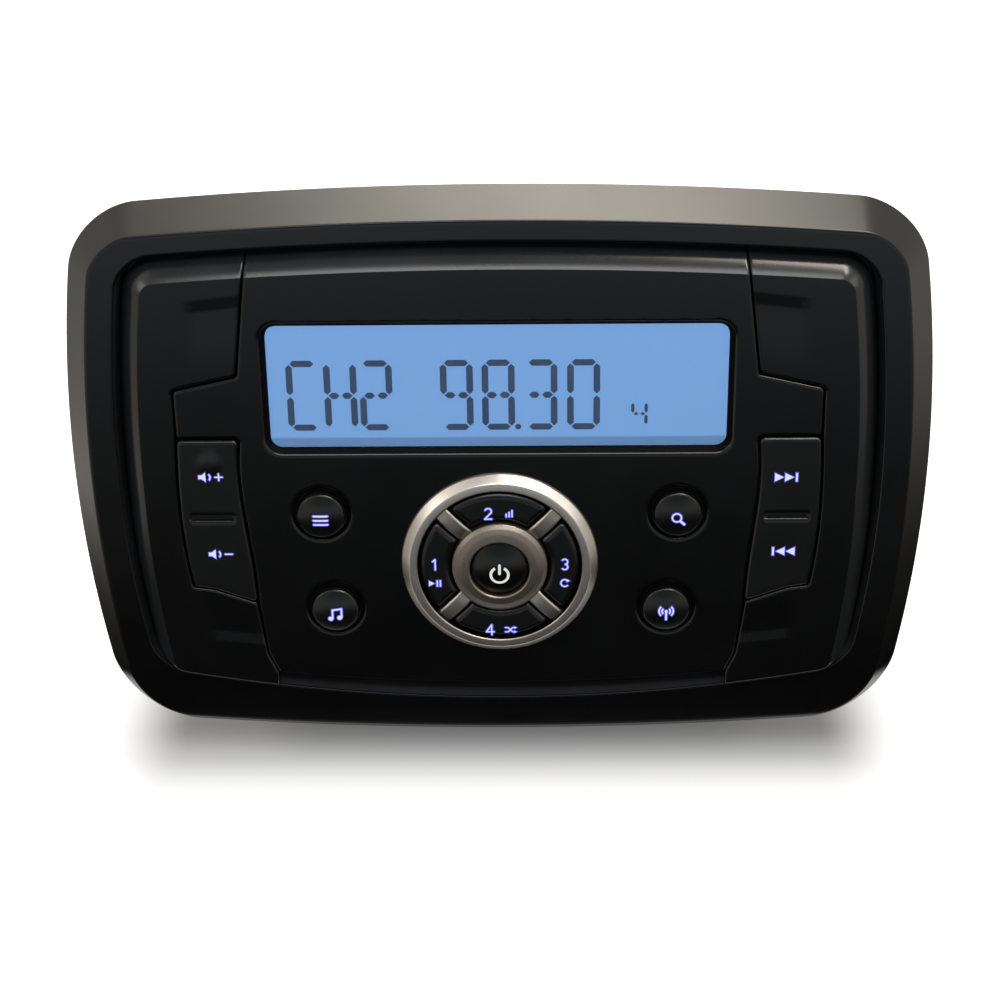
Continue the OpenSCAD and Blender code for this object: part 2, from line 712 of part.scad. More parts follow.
// A round key: a domed cap on a flange that stops behind the fascia
module round_key(place) color(black) upright() translate([place[0], place[1], 0]) {
    rim = face_h + key_proud - 0.9;
    dome = (pow(key_r, 2) + 0.81) / (2 * 0.9);
    post([0, 0], key_r, key_foot, rim);
    post([0, 0], key_r + key_lip, key_foot, key_flange_h);
    intersection() {
        translate([0, 0, rim + 0.9 - dome]) sphere(dome, $fn = 96);
        post([0, 0], key_r, rim - overlap, rim + 2);
    }
}
module set_key() round_key(round_keys[0]);
module mode_key() round_key(round_keys[1]);
module scan_key() round_key(round_keys[2]);
module band_key() round_key(round_keys[3]);

// Quarter ring between two radii, with room for the spokes on its diagonals
module sector(r_in, r_out, side) intersection() {
    difference() {
        circle(r_out);
        circle(r_in);
    }
    rotate(-45) translate([side, side]) square(r_out);
}

module preset_key(turn) color(black) upright() translate([0, pad_z, 0]) rotate(turn) {
    side = spoke_w / 2 + key_gap;
    top = face_h + preset_rise;
    slab(key_foot, top - 0.7) sector(hub_r + key_gap, ring_in_r - key_gap, side);
    slab(top - 0.7 - overlap, top) sector(hub_r + key_gap + 0.7, ring_in_r - key_gap - 0.7, side + 0.5);
    slab(preset_flange_h - key_flange, preset_flange_h)
        sector(hub_r - 0.5, ring_in_r + key_lip, side);
}
module preset_key_1() preset_key(180);
module preset_key_2() preset_key(90);
module preset_key_3() preset_key(0);
module preset_key_4() preset_key(270);

module power_key() color(black) upright() translate([0, pad_z, 0]) rotate_extrude($fn = 96) {
    r = hub_hole_r - key_gap;
    rim = face_h + power_rise - 1.3;
    dome = (r * r + 1.69) / 2.6;
    translate([0, key_foot]) square([r, rim - key_foot]);
    translate([0, power_flange_h - key_flange]) square([r + key_lip, key_flange]);
    intersection() {
        translate([0, rim + 1.3 - dome]) circle(dome);
        translate([0, rim - overlap]) square([r, 2]);
    }
}

// Outer ring with a sloped outside and a flatter crest, four crowned spokes and a domed hub ring
module trim_ring() color(silver) upright() translate([0, pad_z, 0]) {
    base = face_h + cover_seat;
    rotate_extrude($fn = 128) polygon([
        [ring_in_r, skirt_low], [ring_in_r + skirt_t, skirt_low], [ring_in_r + skirt_t, base],
        [ring_r, base],
        [ring_r - 0.2, base + 0.6], [crest_r, face_h + ring_rise - 0.3],
        [ring_in_r + 0.4, face_h + ring_rise],
        [ring_in_r, face_h + ring_rise - 0.3]]);
    rotate_extrude($fn = 96) polygon([
        [hub_hole_r, hub_low], [hub_r, hub_low], [hub_r, face_h + hub_rise - 1.3],
        [hub_r - 0.7, face_h + hub_rise - 0.4], [(hub_r + hub_hole_r) / 2, face_h + hub_rise],
        [hub_hole_r + 0.4, face_h + hub_rise - 0.3], [hub_hole_r, face_h + hub_rise - 0.8]]);
    for (a = [45 : 90 : 315]) rotate(a) translate([hub_r - 1, 0, 0]) rotate([90, 0, 90])
        linear_extrude(ring_in_r - hub_r + 1.6) polygon([
            [-spoke_w / 2, skirt_low], [spoke_w / 2, skirt_low], [spoke_w / 2, face_h + ring_rise - 0.6],
            [spoke_w / 4, face_h + ring_rise - 0.2], [-spoke_w / 4, face_h + ring_rise - 0.2],
            [-spoke_w / 2, face_h + ring_rise - 0.6]]);
}

// Silicone mat over the front board, with a raised pad behind each key and rocker post
module key_mat() color([0.2, 0.2, 0.21]) upright() {
    slab(board_h + cover_seat, mat_h) difference() {
        offset(delta = -1) board_shape();
        translate([0, display_z]) square([display_w + 6, display_h + 6], center = true);
        both_sides() for (p = board_fix) translate(p) circle(head_r + 0.6);
        rect(board_x, display_z, board_top_z);
    }
    for (p = concat(round_keys, preset_keys, rocker_posts, [[0, pad_z]]))
        post(p, pad_r, mat_h - overlap, pad_h);
}

module front_board() color(board_green) upright() difference() {
    slab(flange_t + cover_seat, board_h) board_shape();
    both_sides() for (p = board_fix) post(p, hole_r, 0, board_h + 1);
}

module flat_screw(place, low, length) {
    post(place, screw_r, low - length, low + overlap);
    post(place, head_r, low, low + head_h);
}

module front_board_screws() color(steel) upright() both_sides() for (p = board_fix) mirror([0, 0, 1])
    flat_screw(p, 0, inner_h - 0.6);

module board_header() color([0.12, 0.12, 0.13]) upright()
    translate([-header_w / 2, main_z + cover_seat, main_front - header_seat])
        cube([header_w, header_h, flange_t - main_front + header_seat]);

module panel_gasket() color([0.12, 0.12, 0.12]) upright()
    slab(0, gasket_t - cover_seat) gasket_shape(seat_clear);

// Outline of the chassis, drawn in by an inset
module chassis_shape(inset)
    round_rect(chassis_w - 2 * inset, chassis_h - 2 * inset, max(chassis_r - inset, 0.6));

module seal_shape() difference() {
    chassis_shape(chassis_wall + seal_land);
    chassis_shape(chassis_wall + seal_land + seal_w);
}

// Sleeve open at both ends, with seal rims, corner bosses and rails under the main board
module chassis() color(satin_black) upright() difference() {
    union() {
        slab(-chassis_d, 0) difference() {
            chassis_shape(0);
            chassis_shape(chassis_wall);
        }
        for (low = [-chassis_d, -rim_t]) slab(low, low + rim_t) difference() {
            chassis_shape(chassis_wall / 2);
            chassis_shape(rim_w);
        }
        four_corners(boss_x, boss_z) slab(-chassis_d, 0) circle(boss_r);
        both_sides() translate([main_w / 2 - rail_w, rail_foot, -chassis_d + main_gap])
            cube([rail_w, main_z - board_t - cover_seat - rail_foot, main_d]);
    }
    slab(-seal_t, 1) seal_shape();
    slab(-chassis_d - 1, seal_t - chassis_d) seal_shape();
    for (sx = [-1, 1], sz = [-1, 1]) {
        post([sx * boss_x, sz * boss_z], hole_r, -screw_len - 1, 1);
        post([sx * boss_x, sz * boss_z], hole_r, -chassis_d - 1, screw_len + 1 - chassis_d);
    }
    both_sides() for (h = main_fix_h) main_fix(h, hole_r, screw_len - 1);
}

module case_seal() color([0.15, 0.15, 0.15]) upright() slab(cover_seat - seal_t, 0) seal_shape();
module rear_seal() color([0.15, 0.15, 0.15]) upright()
    slab(-chassis_d, seal_t - chassis_d - cover_seat) seal_shape();

module case_screws() color(steel) upright() for (sx = [-1, 1], sz = [-1, 1])
    flat_screw([sx * boss_x, sz * boss_z], flange_t - head_h, screw_len);

module rear_screws() color(steel) upright() for (sx = [-1, 1], sz = [-1, 1])
    translate([0, 0, rear_face]) mirror([0, 0, 1])
        flat_screw([sx * boss_x, sz * boss_z], 0, screw_len + cover_t - 1);

// Cast rear cover with vertical cooling fins above the sockets
module rear_cover() color([0.3, 0.3, 0.31]) upright() {
    pitch = (2 * boss_x - 2 * head_r - 6) / (fin_count - 1);
    difference() {
        slab(rear_face, -chassis_d) chassis_shape(0);
        slab(rear_face - 1, 1 - chassis_d) four_corners(boss_x, boss_z) circle(hole_r);
        slab(rear_face - 1, 1 - chassis_d) {
            translate([power_x, socket_z])
                square([power_w + 2 * socket_gap, power_h + 2 * socket_gap], center = true);
            translate([aerial_x, socket_z]) circle(aerial_r + socket_gap);
            for (s = [-0.5, 0.5])
                translate([phono_x + s * phono_pitch, socket_z]) circle(phono_r + socket_gap);
        }
        post([amp_x, amp_screw_z], hole_r, rear_face + 0.8, 1 - chassis_d);
    }
    for (i = [0 : fin_count - 1])
        translate([-(fin_count - 1) * pitch / 2 + i * pitch - fin_t / 2, fin_low, rear_face - fin_d])
            cube([fin_t, fin_top - fin_low, fin_d + overlap]);
}

module main_fix(h, r, depth) translate([main_w / 2 - rail_w / 2, main_z, h])
    rotate([90, 0, 0]) cylinder(r = r, h = depth);

module main_board() color(board_green) upright() difference() {
    translate([-main_w / 2, main_z - board_t, main_front - main_d]) cube([main_w, board_t, main_d]);
    both_sides() for (h = main_fix_h) translate([0, 1, 0]) main_fix(h, hole_r, board_t + 2);
}

module main_board_screws() color(steel) upright() both_sides() for (h = main_fix_h) {
    main_fix(h, screw_r, screw_len - 2);
    translate([0, head_h, 0]) main_fix(h, head_r - 0.4, head_h);
}

// Power amplifier, standing on the main board with its back on the rear cover
module amplifier_chip() color([0.1, 0.1, 0.1]) upright() difference() {
    translate([amp_x - amp_w / 2, main_z + cover_seat, cover_seat - chassis_d]) cube([amp_w, amp_h, amp_t]);
    post([amp_x, amp_screw_z], hole_r, -chassis_d - 1, amp_t + 1 - chassis_d);
}

module amplifier_screw() color(steel) upright()
    flat_screw([amp_x, amp_screw_z], amp_t + cover_seat - chassis_d, amp_t + cover_t - 1);

module tuner_module() color(steel) upright()
    translate([-main_w / 2 + rail_w + 1, main_z + cover_seat, socket_front + 2])
        cube([tuner_w, tuner_h, tuner_d]);

module capacitors() color([0.1, 0.12, 0.2]) upright()
    for (i = [0 : 2]) translate([main_w / 2 - rail_w - 2 - capacitor_r - i * (2 * capacitor_r + 1.5),
        main_z + cover_seat, socket_front + 2 + capacitor_r])
        rotate([-90, 0, 0]) cylinder(r = capacitor_r, h = capacitor_h);

// Shrouded rear socket for supply and loudspeaker leads
module power_socket() color([0.08, 0.08, 0.085]) upright() translate([power_x, socket_z, 0]) difference() {
    slab(socket_end, socket_front) square([power_w, power_h], center = true);
    slab(socket_end - 1, socket_end + socket_bore)
        square([power_w - 2 * power_wall, power_h - 2 * power_wall], center = true);
}

module power_pins() color([0.8, 0.66, 0.3]) upright() translate([power_x, socket_z, 0])
    for (i = [-2.5 : 2.5], k = [-0.5, 0.5])
        translate([i * (power_w - 2 * power_wall) / 6, k * (power_h - 2 * power_wall) / 2,
            socket_end + socket_bore - contact_len])
            linear_extrude(contact_len) square(1.2, center = true);

// Barrel on a block that stands on the main board
module aerial_socket() color(steel) upright() translate([aerial_x, socket_z, 0]) difference() {
    union() {
        post([0, 0], aerial_r, socket_end, socket_front);
        translate([-aerial_r, -power_h / 2, cover_seat - chassis_d])
            cube([2 * aerial_r, power_h / 2, socket_in - cover_seat]);
    }
    post([0, 0], aerial_bore_r, socket_end - 1, socket_end + socket_bore);
}

module aerial_contact() color([0.8, 0.66, 0.3]) upright()
    translate([aerial_x, socket_z, socket_end + socket_bore - contact_len])
        cylinder(r = aerial_bore_r / 3, h = contact_len);

module phono_sockets() color([0.75, 0.12, 0.1]) upright() translate([phono_x, socket_z, 0]) {
    for (s = [-0.5, 0.5]) difference() {
        post([s * phono_pitch, 0], phono_r, socket_end, cover_seat - chassis_d + overlap);
        post([s * phono_pitch, 0], phono_bore_r, socket_end - 1, socket_end + socket_bore / 2);
    }
    translate([-phono_pitch / 2 - phono_r, -power_h / 2, cover_seat - chassis_d])
        cube([phono_pitch + 2 * phono_r, power_h / 2 + phono_r, socket_in - cover_seat]);
}

bezel();
fascia();
left_side_cover();
right_side_cover();
display_window();
display_glass();
light_guide();
backlight_leds();
volume_rocker();
seek_rocker();
set_key();
mode_key();
scan_key();
band_key();
preset_key_1();
preset_key_2();
preset_key_3();
preset_key_4();
power_key();
trim_ring();
key_mat();
front_board();
front_board_screws();
board_header();
panel_gasket();
case_seal();
chassis();
case_screws();
rear_seal();
rear_cover();
rear_screws();
main_board();
main_board_screws();
amplifier_chip();
amplifier_screw();
tuner_module();
capacitors();
power_socket();
power_pins();
aerial_socket();
aerial_contact();
phono_sockets();
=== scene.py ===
"""Marine stereo head unit: surfaces, finishes, stage and camera around the packed frame."""

import json
import math
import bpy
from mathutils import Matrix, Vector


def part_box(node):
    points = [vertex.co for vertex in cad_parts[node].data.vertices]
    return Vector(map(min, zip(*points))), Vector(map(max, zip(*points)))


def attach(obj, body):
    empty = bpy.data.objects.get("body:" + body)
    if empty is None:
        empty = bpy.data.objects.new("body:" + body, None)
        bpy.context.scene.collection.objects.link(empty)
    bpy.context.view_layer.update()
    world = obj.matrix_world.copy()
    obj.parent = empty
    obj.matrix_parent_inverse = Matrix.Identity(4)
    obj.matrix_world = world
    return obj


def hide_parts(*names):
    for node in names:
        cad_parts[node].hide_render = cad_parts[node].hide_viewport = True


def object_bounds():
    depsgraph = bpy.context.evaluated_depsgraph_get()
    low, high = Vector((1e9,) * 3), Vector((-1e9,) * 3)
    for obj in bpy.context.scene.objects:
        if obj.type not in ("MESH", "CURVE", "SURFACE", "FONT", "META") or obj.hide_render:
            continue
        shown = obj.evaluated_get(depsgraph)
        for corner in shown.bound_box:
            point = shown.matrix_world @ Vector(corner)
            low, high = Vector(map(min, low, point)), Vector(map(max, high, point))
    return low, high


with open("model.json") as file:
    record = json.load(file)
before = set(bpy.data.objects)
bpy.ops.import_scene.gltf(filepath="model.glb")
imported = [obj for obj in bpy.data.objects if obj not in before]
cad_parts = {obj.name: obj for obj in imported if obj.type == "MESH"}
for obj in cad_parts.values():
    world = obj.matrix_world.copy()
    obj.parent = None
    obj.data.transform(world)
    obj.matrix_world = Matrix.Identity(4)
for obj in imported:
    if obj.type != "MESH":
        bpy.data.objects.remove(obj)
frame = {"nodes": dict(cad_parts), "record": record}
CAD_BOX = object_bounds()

from types import SimpleNamespace

import bmesh
import bpy
import numpy as np
from mathutils import Matrix, Vector, geometry

bl_info = {
    "name": "Marine Stereo Head Unit",
    "version": (1, 0, 0),
    "blender": (4, 5, 0),
    "location": "View3D > Sidebar > Stereo",
    "description": "Builds the skins, lit legends, finishes and stage of a flush-mount marine stereo",
    "category": "Object",
}

MM = 0.001
BEZEL_LOW, BEZEL_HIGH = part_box("bezel")
WINDOW_LOW, WINDOW_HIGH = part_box("display_window")
GLASS_LOW, GLASS_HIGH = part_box("display_glass")
LEAST_CORNER = 1.2  # millimetres, where the recess drafts in past its corner radius
CLEAR = 0.3  # millimetres kept between the lines of a mesh that run side by side
DOT_STEP = 3.0  # millimetres between the dots that a wide mesh passes through
FOOT_DRAFT = 0.995  # share of the front's width that the shells keep at their foot
PEN = 0.26  # millimetres, width of the legends' strokes
SCALE = {"volume": 1.25, "skip": 1.3, "key": 1.3, "power": 1.35, "number": 1.2}  # of the drawn signs
BLOCK = 4000000  # distances that are worked out at once
# Shade painted into the gloss: the gloss fades towards the bottom of a moulding, which then looks darker
# there.
DIM_FADE = 0.03  # metres over which a moulding's gloss fades
FINE_GRAIN = 0.000004  # metres, depth of the finest grain
FACE_GRAIN = 3000  # grains per metre on the fascia and the keys
BEZEL_GRAIN = 2600  # grains per metre on the bezel
PART_GRAIN = 2200  # grains per metre on the other parts

# Preset keys: the angle of each round the trim ring, in degrees from its right.
PRESETS = {1: 180, 2: 90, 3: 0, 4: 270}

# Readout: the lit segments of each character, and the characters with their left edges in millimetres.
GLYPHS = {
    "C": "adef", "H": "bcefg", "2": "abdeg", "9": "abcdfg",
    "8": "abcdefg", "3": "abcdg", "0": "abcdef", "4": "bcfg"}
READOUT = (
    ("C", -42.0), ("H", -34.4), ("2", -27.2), ("9", -10.9), ("8", -2.5), ("3", 6.1), ("0", 14.7))

# Finishes of the inner and rear parts by record slot: colour in linear light, and roughness.
PLASTICS = {
    "chassis_plastic": ((0.012, 0.012, 0.013), 0.45), "connector_plastic": ((0.01, 0.01, 0.011), 0.4),
    "gasket_rubber": ((0.012, 0.012, 0.012), 0.75), "silicone": ((0.045, 0.045, 0.048), 0.6),
    "circuit_board": ((0.012, 0.1, 0.04), 0.35), "chip_epoxy": ((0.01, 0.01, 0.01), 0.5),
    "capacitor_sleeve": ((0.012, 0.016, 0.06), 0.28), "phono_plastic": ((0.35, 0.02, 0.02), 0.32),
    "light_guide": ((0.8, 0.84, 0.9), 0.3), "led": ((0.9, 0.86, 0.7), 0.25)}
METALS = {
    "rear_alloy": ((0.06, 0.06, 0.063), 0.5), "screw_steel": ((0.55, 0.56, 0.57), 0.32),
    "tuner_can": ((0.6, 0.61, 0.62), 0.3), "contact_brass": ((0.7, 0.5, 0.18), 0.27),
    "aerial_metal": ((0.68, 0.69, 0.7), 0.2)}

# Level of the room's light by the angle above the horizon, in degrees, in front and at both sides.
ROOM_FRONT = (
    (-28, 0.0), (-25, 0.004), (-23, 0.018), (-21, 0.075), (-19, 0.22), (-17, 0.4), (-14, 0.56), (-8, 0.4),
    (0, 0.14), (40, 0.08), (70, 0.12))
ROOM_LEFT = (
    (-28.2, 0.0), (-26.7, 0.07), (-25, 0.72), (-22, 0.45), (-18, 0.33), (0, 0.36), (20, 0.45), (38, 0.6),
    (66, 0.55))
ROOM_RIGHT = (
    (-28, 0.0), (-26, 0.02), (-24, 0.06), (-22, 0.14), (-20, 0.22), (-16, 0.36), (20, 0.42), (38, 0.55),
    (66, 0.5))

# Part of a direction that points sideways, where the room's front starts and ends to blend into its sides.
SIDE_START, SIDE_END = 0.25, 0.55

# Softboxes: the place, the width and the height of each, in metres.
SOFTBOXES = {
    "top": ((0.04, 0.045, 0.55), 0.985, 0.15),
    "front": ((0.02, -0.4, 0.46), 0.42, 0.16),
    "left": ((-0.5, -0.25, 0.22), 0.22, 0.22),
    "right": ((0.5, -0.25, 0.22), 0.22, 0.22)}
IMAGE_PX = 1000  # width of the image that the focal length is given for


def length(name, mm, description):
    """A length property: its default is given in millimetres and kept in metres."""
    return bpy.props.FloatProperty(
        name=name, description=description, default=mm * MM, unit="LENGTH", subtype="DISTANCE", precision=5)


def tint(name, colour, description):
    """A colour property in linear light."""
    return bpy.props.FloatVectorProperty(
        name=name, description=description, default=colour, size=3, min=0, max=1, subtype="COLOR")


def angle(name, degrees, description):
    """An angle property: its default is given in degrees and kept in radians."""
    return bpy.props.FloatProperty(
        name=name, description=description, default=math.radians(degrees), subtype="ANGLE")


def number(name, value, description):
    """A plain number property without a unit."""
    return bpy.props.FloatProperty(name=name, description=description, default=value)


class BezelSizes(bpy.types.PropertyGroup):
    """Sizes of the bowed bezel and its recess."""
    width: length("Width", (BEZEL_HIGH.x - BEZEL_LOW.x) / MM, "Overall width at the panel")
    height: length("Height", (BEZEL_HIGH.z - BEZEL_LOW.z) / MM, "Overall height at the panel")
    ring_h: length("Ring height", (BEZEL_HIGH.y - BEZEL_LOW.y) / MM, "Height of the flat ring over the panel")
    corner: length("Lower corner", 16.5, "Radius of the lower outer corners")
    top_corner: length("Upper corner", 13.5, "Radius of the upper outer corners")
    rim_inset: length("Rim inset", 5.2, "How far the sloped rim leans in")
    rim_wall: length("Rim wall", 2.6, "Wall round the hollow in the rear of the rim")
    rim_slope: length("Rim slope", 0.6, "Extra lean of the hollow's outer wall")
    ring_side: length("Ring at the sides", 5.6, "Width of the flat ring at the sides")
    ring_top: length("Ring at the top", 4.3, "Width of the flat ring at the top")
    ring_bottom: length("Ring at the bottom", 7.2, "Width of the flat ring at the bottom")
    side_bow: length("Side bow", 320, "Radius of the bow in the sides")
    side_mid: length("Widest height", 4.3, "Height at which the bezel is widest")
    top_bow: length("Top bow", 1000, "Radius of the bow in the top and bottom")
    low_bow: length("Recess bow", 400, "Radius of the bow in the recess's lower edge")
    flange: length("Flange", 2.5, "Thickness of the flange under the fascia")
    draft: length("Recess draft", 1, "Draft of the recess wall at the sides and top")
    ledge: length("Ledge", 4, "Run of the sloped ledge at the bottom of the recess")
    mouth_r: length("Recess corner", 7, "Radius of the recess's corners")
    soft_edge: length("Soft edge", 0.35, "Radius of the moulded edges")
    screw_x: length("Screw place across", 65, "Half distance between the panel screws, across")
    screw_z: length("Screw place up", 33, "Half distance between the panel screws, up")
    screw_r: length("Screw hole", 2.25, "Radius of the panel screw holes")
    channel_x: length("Gasket channel across", 58, "Inner half width of the gasket's channel")
    channel_z: length("Gasket channel up", 44, "Inner half height of the gasket's channel")
    channel_w: length("Gasket channel width", 3.5, "Width of the gasket's channel")
    channel_t: length("Gasket channel depth", 1, "Depth of the gasket's channel")
    channel_r: length("Gasket channel corner", 7, "Inner corner radius of the gasket's channel")


class FaceSizes(bpy.types.PropertyGroup):
    """Sizes of the fascia, the side covers and the rockers."""
    face_h: length("Face height", 9.4, "Height of the fascia's front over the panel")
    wall: length("Wall", 2, "Wall of the fascia and the side covers")
    gap: length("Recess gap", 0.5, "Gap between the recess wall and the fascia")
    shoulder: length("Shoulder", 4.2, "Width of the rounded shoulder")
    shoulder_r: length("Shoulder radius", 11, "Radius of the shoulder's bowed slope")
    shoulder_fall: length("Shoulder fall", 4.8, "How far the shoulder falls to its outer edge")
    seam_gap: length("Seam gap", 0.3, "Gap along the seams")
    rocker_gap: length("Rocker gap", 0.4, "Gap round each rocker")
    edge: length("Edge round", 0.4, "Radius of the edges along the seams")
    seam_top_x: length("Seam top", 47.6, "Half width of the fascia at the bezel's top edge")
    seam_mid_x: length("Seam middle", 52.2, "Half width of the fascia above the ears")
    seam_mid_z: length("Seam middle height", 25, "Height of the upper seam's lower end")
    ear_x: length("Ear", 65.3, "Half width of the ears above the rockers")
    ear_z: length("Ear height", 22, "Height of the ears' outer corner")
    seam_low_x: length("Seam bottom", 47.4, "Half width of the fascia at its bottom edge")
    seam_low_z: length("Seam bottom height", -42.7, "Height of the fascia's lower corners")
    bend_x: length("Seam bend", 49.4, "Half width at the seam's bend")
    bend_z: length("Seam bend height", -38.2, "Height of the seam's bend")
    bottom_z: length("Bottom edge", -45.3, "Height of the fascia's bottom edge on the centre line")
    scoop_depth: length("Scoop depth", 0.12, "Depth of the side covers' scoop at the seam")
    scoop_out_x: length("Scoop end", 62.5, "Half width at which the scoop runs out")
    scoop_top: length("Scoop top", 41, "Height of the scoop's upper step")
    scoop_low: length("Scoop bottom", -34.5, "Height of the scoop's lower step")
    scoop_run: length("Scoop step", 2.4, "Run of the scoop's sloped steps")
    scoop_end: length("Scoop outer slope", 3, "Run of the scoop's outer end")
    scoop_lean: length("Scoop lean", 1.2, "How far each step leans in over its length")
    scoop_fade: length("Scoop fade", 14, "How far from each step the scoop has come back to the surface")
    rocker_top: length("Rocker top", 11.4, "Height of the rockers' top edge")
    rocker_low_in: length("Rocker inner corner", -25.6, "Height of the rockers' inner lower corner")
    rocker_low_out: length("Rocker outer corner", -21.8, "Height of the rockers' outer lower corner")
    rocker_in_x: length("Rocker inner edge", 52.9, "Half width at the rockers' inner edge, at the top")
    rocker_in_low_x: length("Rocker inner foot", 51.2, "Half width at the rockers' inner lower corner")
    rocker_out_low_x: length("Rocker outer foot", 64.1, "Half width at the rockers' outer lower corner")
    rocker_bow: length("Rocker bow", 0.9, "Bow of the rockers' long edges")
    rocker_proud: length("Rocker proud", 0.4, "How far the rockers stand in front of the fascia")
    rocker_t: length("Rocker thickness", 1.8, "Thickness of a rocker's plate")
    rocker_edge: length("Rocker edge round", 0.6, "Radius of the rockers' edges")
    pivot_z: length("Pivot height", -6, "Height of the rockers' pivots")
    groove_x: length("Groove length", 9.2, "Length of the groove across a rocker")
    groove_z: length("Groove width", 1.1, "Width of the groove across a rocker")
    groove_t: length("Groove depth", 0.6, "Depth of the groove across a rocker")
    foot_x: length("Foot bend", 4, "How far in from its outer corner a rocker's lower edge bends")
    foot_z: length("Foot bend drop", 0.6, "How far that bend lies below the outer corner")
    foot_r: length("Foot bend radius", 3, "Radius of that bend")
    bow_out_z: length("Outer bow", 12, "Height over a rocker's middle where its outer edge starts to bow")
    bow_in_z: length("Inner bow", 9, "Height over a rocker's middle where its inner edge bows most")
    bow_in_low_z: length("Inner bow end", 2, "Height over a rocker's middle where that bow ends")
    rocker_low_r: length("Rocker lower corner", 0.7, "Radius of the rockers' lower corners")
    rocker_top_r: length("Rocker upper corner", 1, "Radius of the rockers' upper corners")
    pocket_r: length("Pocket corner", 1, "Radius of the lower corners round the rockers")
    pocket_top_r: length("Pocket upper corner", 1.2, "Radius of the upper corner beside the rockers")
    pocket_in_r: length("Pocket inner corner", 0.6, "Radius of the covers' corner below the rockers")
    bend_r: length("Seam bend radius", 4, "Radius of the seam's bend")
    ear_r: length("Ear corner", 1, "Radius of the ears' outer corner")
    seam_mid_r: length("Seam middle corner", 0.6, "Radius of the corner above the ears")
    tip_r: length("Tip", 0.5, "Radius of the fascia's pointed corners")
    cover_tip_r: length("Cover tip", 2, "Radius of the covers' inner lower corner")
    mound: length("Mound", 0.22, "Rise of the tactile mound on the volume rocker")
    mound_z: length("Mound place", 12.2, "Height of that mound over the pivot")
    mound_r: length("Mound radius", 2.1, "Radius of that mound")
    seat_gap: length("Seat gap", 0.05, "Gap under what sits on the flange or on the fascia")


class KeySizes(bpy.types.PropertyGroup):
    """Sizes of the round keys, the trim ring and its keys."""
    key_r: length("Key radius", 4.85, "Radius of the round keys")
    key_proud: length("Key proud", 2.1, "How far the round keys stand in front of the fascia")
    key_dome: length("Key dome", 0.9, "Rise of the round keys' domed tops")
    key_edge: length("Key edge round", 0.5, "Radius of the keys' edges")
    power_dome: length("Power dome", 1.3, "Rise of the power key's domed top")
    preset_edge: length("Preset edge round", 1.5, "Radius of the preset keys' edges")
    preset_out_r: length("Preset outer corner", 1.3, "Radius of the preset keys' outer corners")
    preset_in_r: length("Preset inner corner", 0.8, "Radius of the preset keys' inner corners")
    preset_foot: length("Preset foot", 2.2, "How far the preset keys reach behind the fascia's front")
    power_foot: length("Power foot", 1.2, "How far the power key reaches behind the fascia's front")
    key_gap: length("Key gap", 0.25, "Gap between a key and its hole")
    key_foot: length("Key foot", 6.2, "Height of the keys' feet over the panel")
    key_flange: length("Key flange", 0.9, "Thickness of a key's flange")
    key_lip: length("Key lip", 1, "Width of a key's flange")
    dish_r: length("Dish radius", 6.1, "Radius of the dish round each key")
    dish_depth: length("Dish depth", 0.75, "Depth of that dish")
    upper_x: length("Upper keys across", 36.7, "Distance of the upper keys from the centre line")
    upper_z: length("Upper keys up", -5.2, "Height of the upper keys")
    lower_x: length("Lower keys across", 34.7, "Distance of the lower keys from the centre line")
    lower_z: length("Lower keys up", -27.1, "Height of the lower keys")
    pad_z: length("Ring centre", -16.5, "Height of the trim ring's centre")
    ring_r: length("Ring radius", 20.5, "Outer radius of the trim ring")
    crest_r: length("Ring crest", 18.8, "Radius of the crest of the trim ring")
    ring_in_r: length("Ring inside", 17.1, "Inner radius of the trim ring")
    hub_r: length("Hub radius", 9.9, "Outer radius of the hub ring")
    hub_hole_r: length("Hub hole", 6.2, "Radius of the hole in the hub ring")
    spoke_w: length("Spoke width", 3.1, "Width of the four spokes")
    spoke_sag: length("Spoke arch", 0.9, "How far the spokes' ends fall below their middles")
    spoke_root: length("Spoke root", 1, "How far the spokes reach into the hub ring")
    spoke_tip: length("Spoke tip", 0.6, "How far the spokes reach into the outer ring")
    spoke_drop: length("Spoke drop", 0.2, "How far the spokes' tops lie below the ring's")
    bevel_x: length("Spoke bevel", 0.35, "Width of the bevel along the spokes' edges")
    bevel_z: length("Spoke bevel depth", 0.3, "Depth of that bevel")
    ring_rise: length("Ring rise", 2.3, "Height of the outer ring over the fascia")
    hub_rise: length("Hub rise", 3.9, "Height of the hub ring over the fascia")
    preset_rise: length("Preset rise", 2, "Height of the preset keys over the fascia")
    power_rise: length("Power rise", 3.9, "Height of the power key over the fascia")
    skirt: length("Skirt", 1, "Length of the trim ring's skirt inside the fascia")
    skirt_t: length("Skirt wall", 1.8, "Thickness of that skirt")


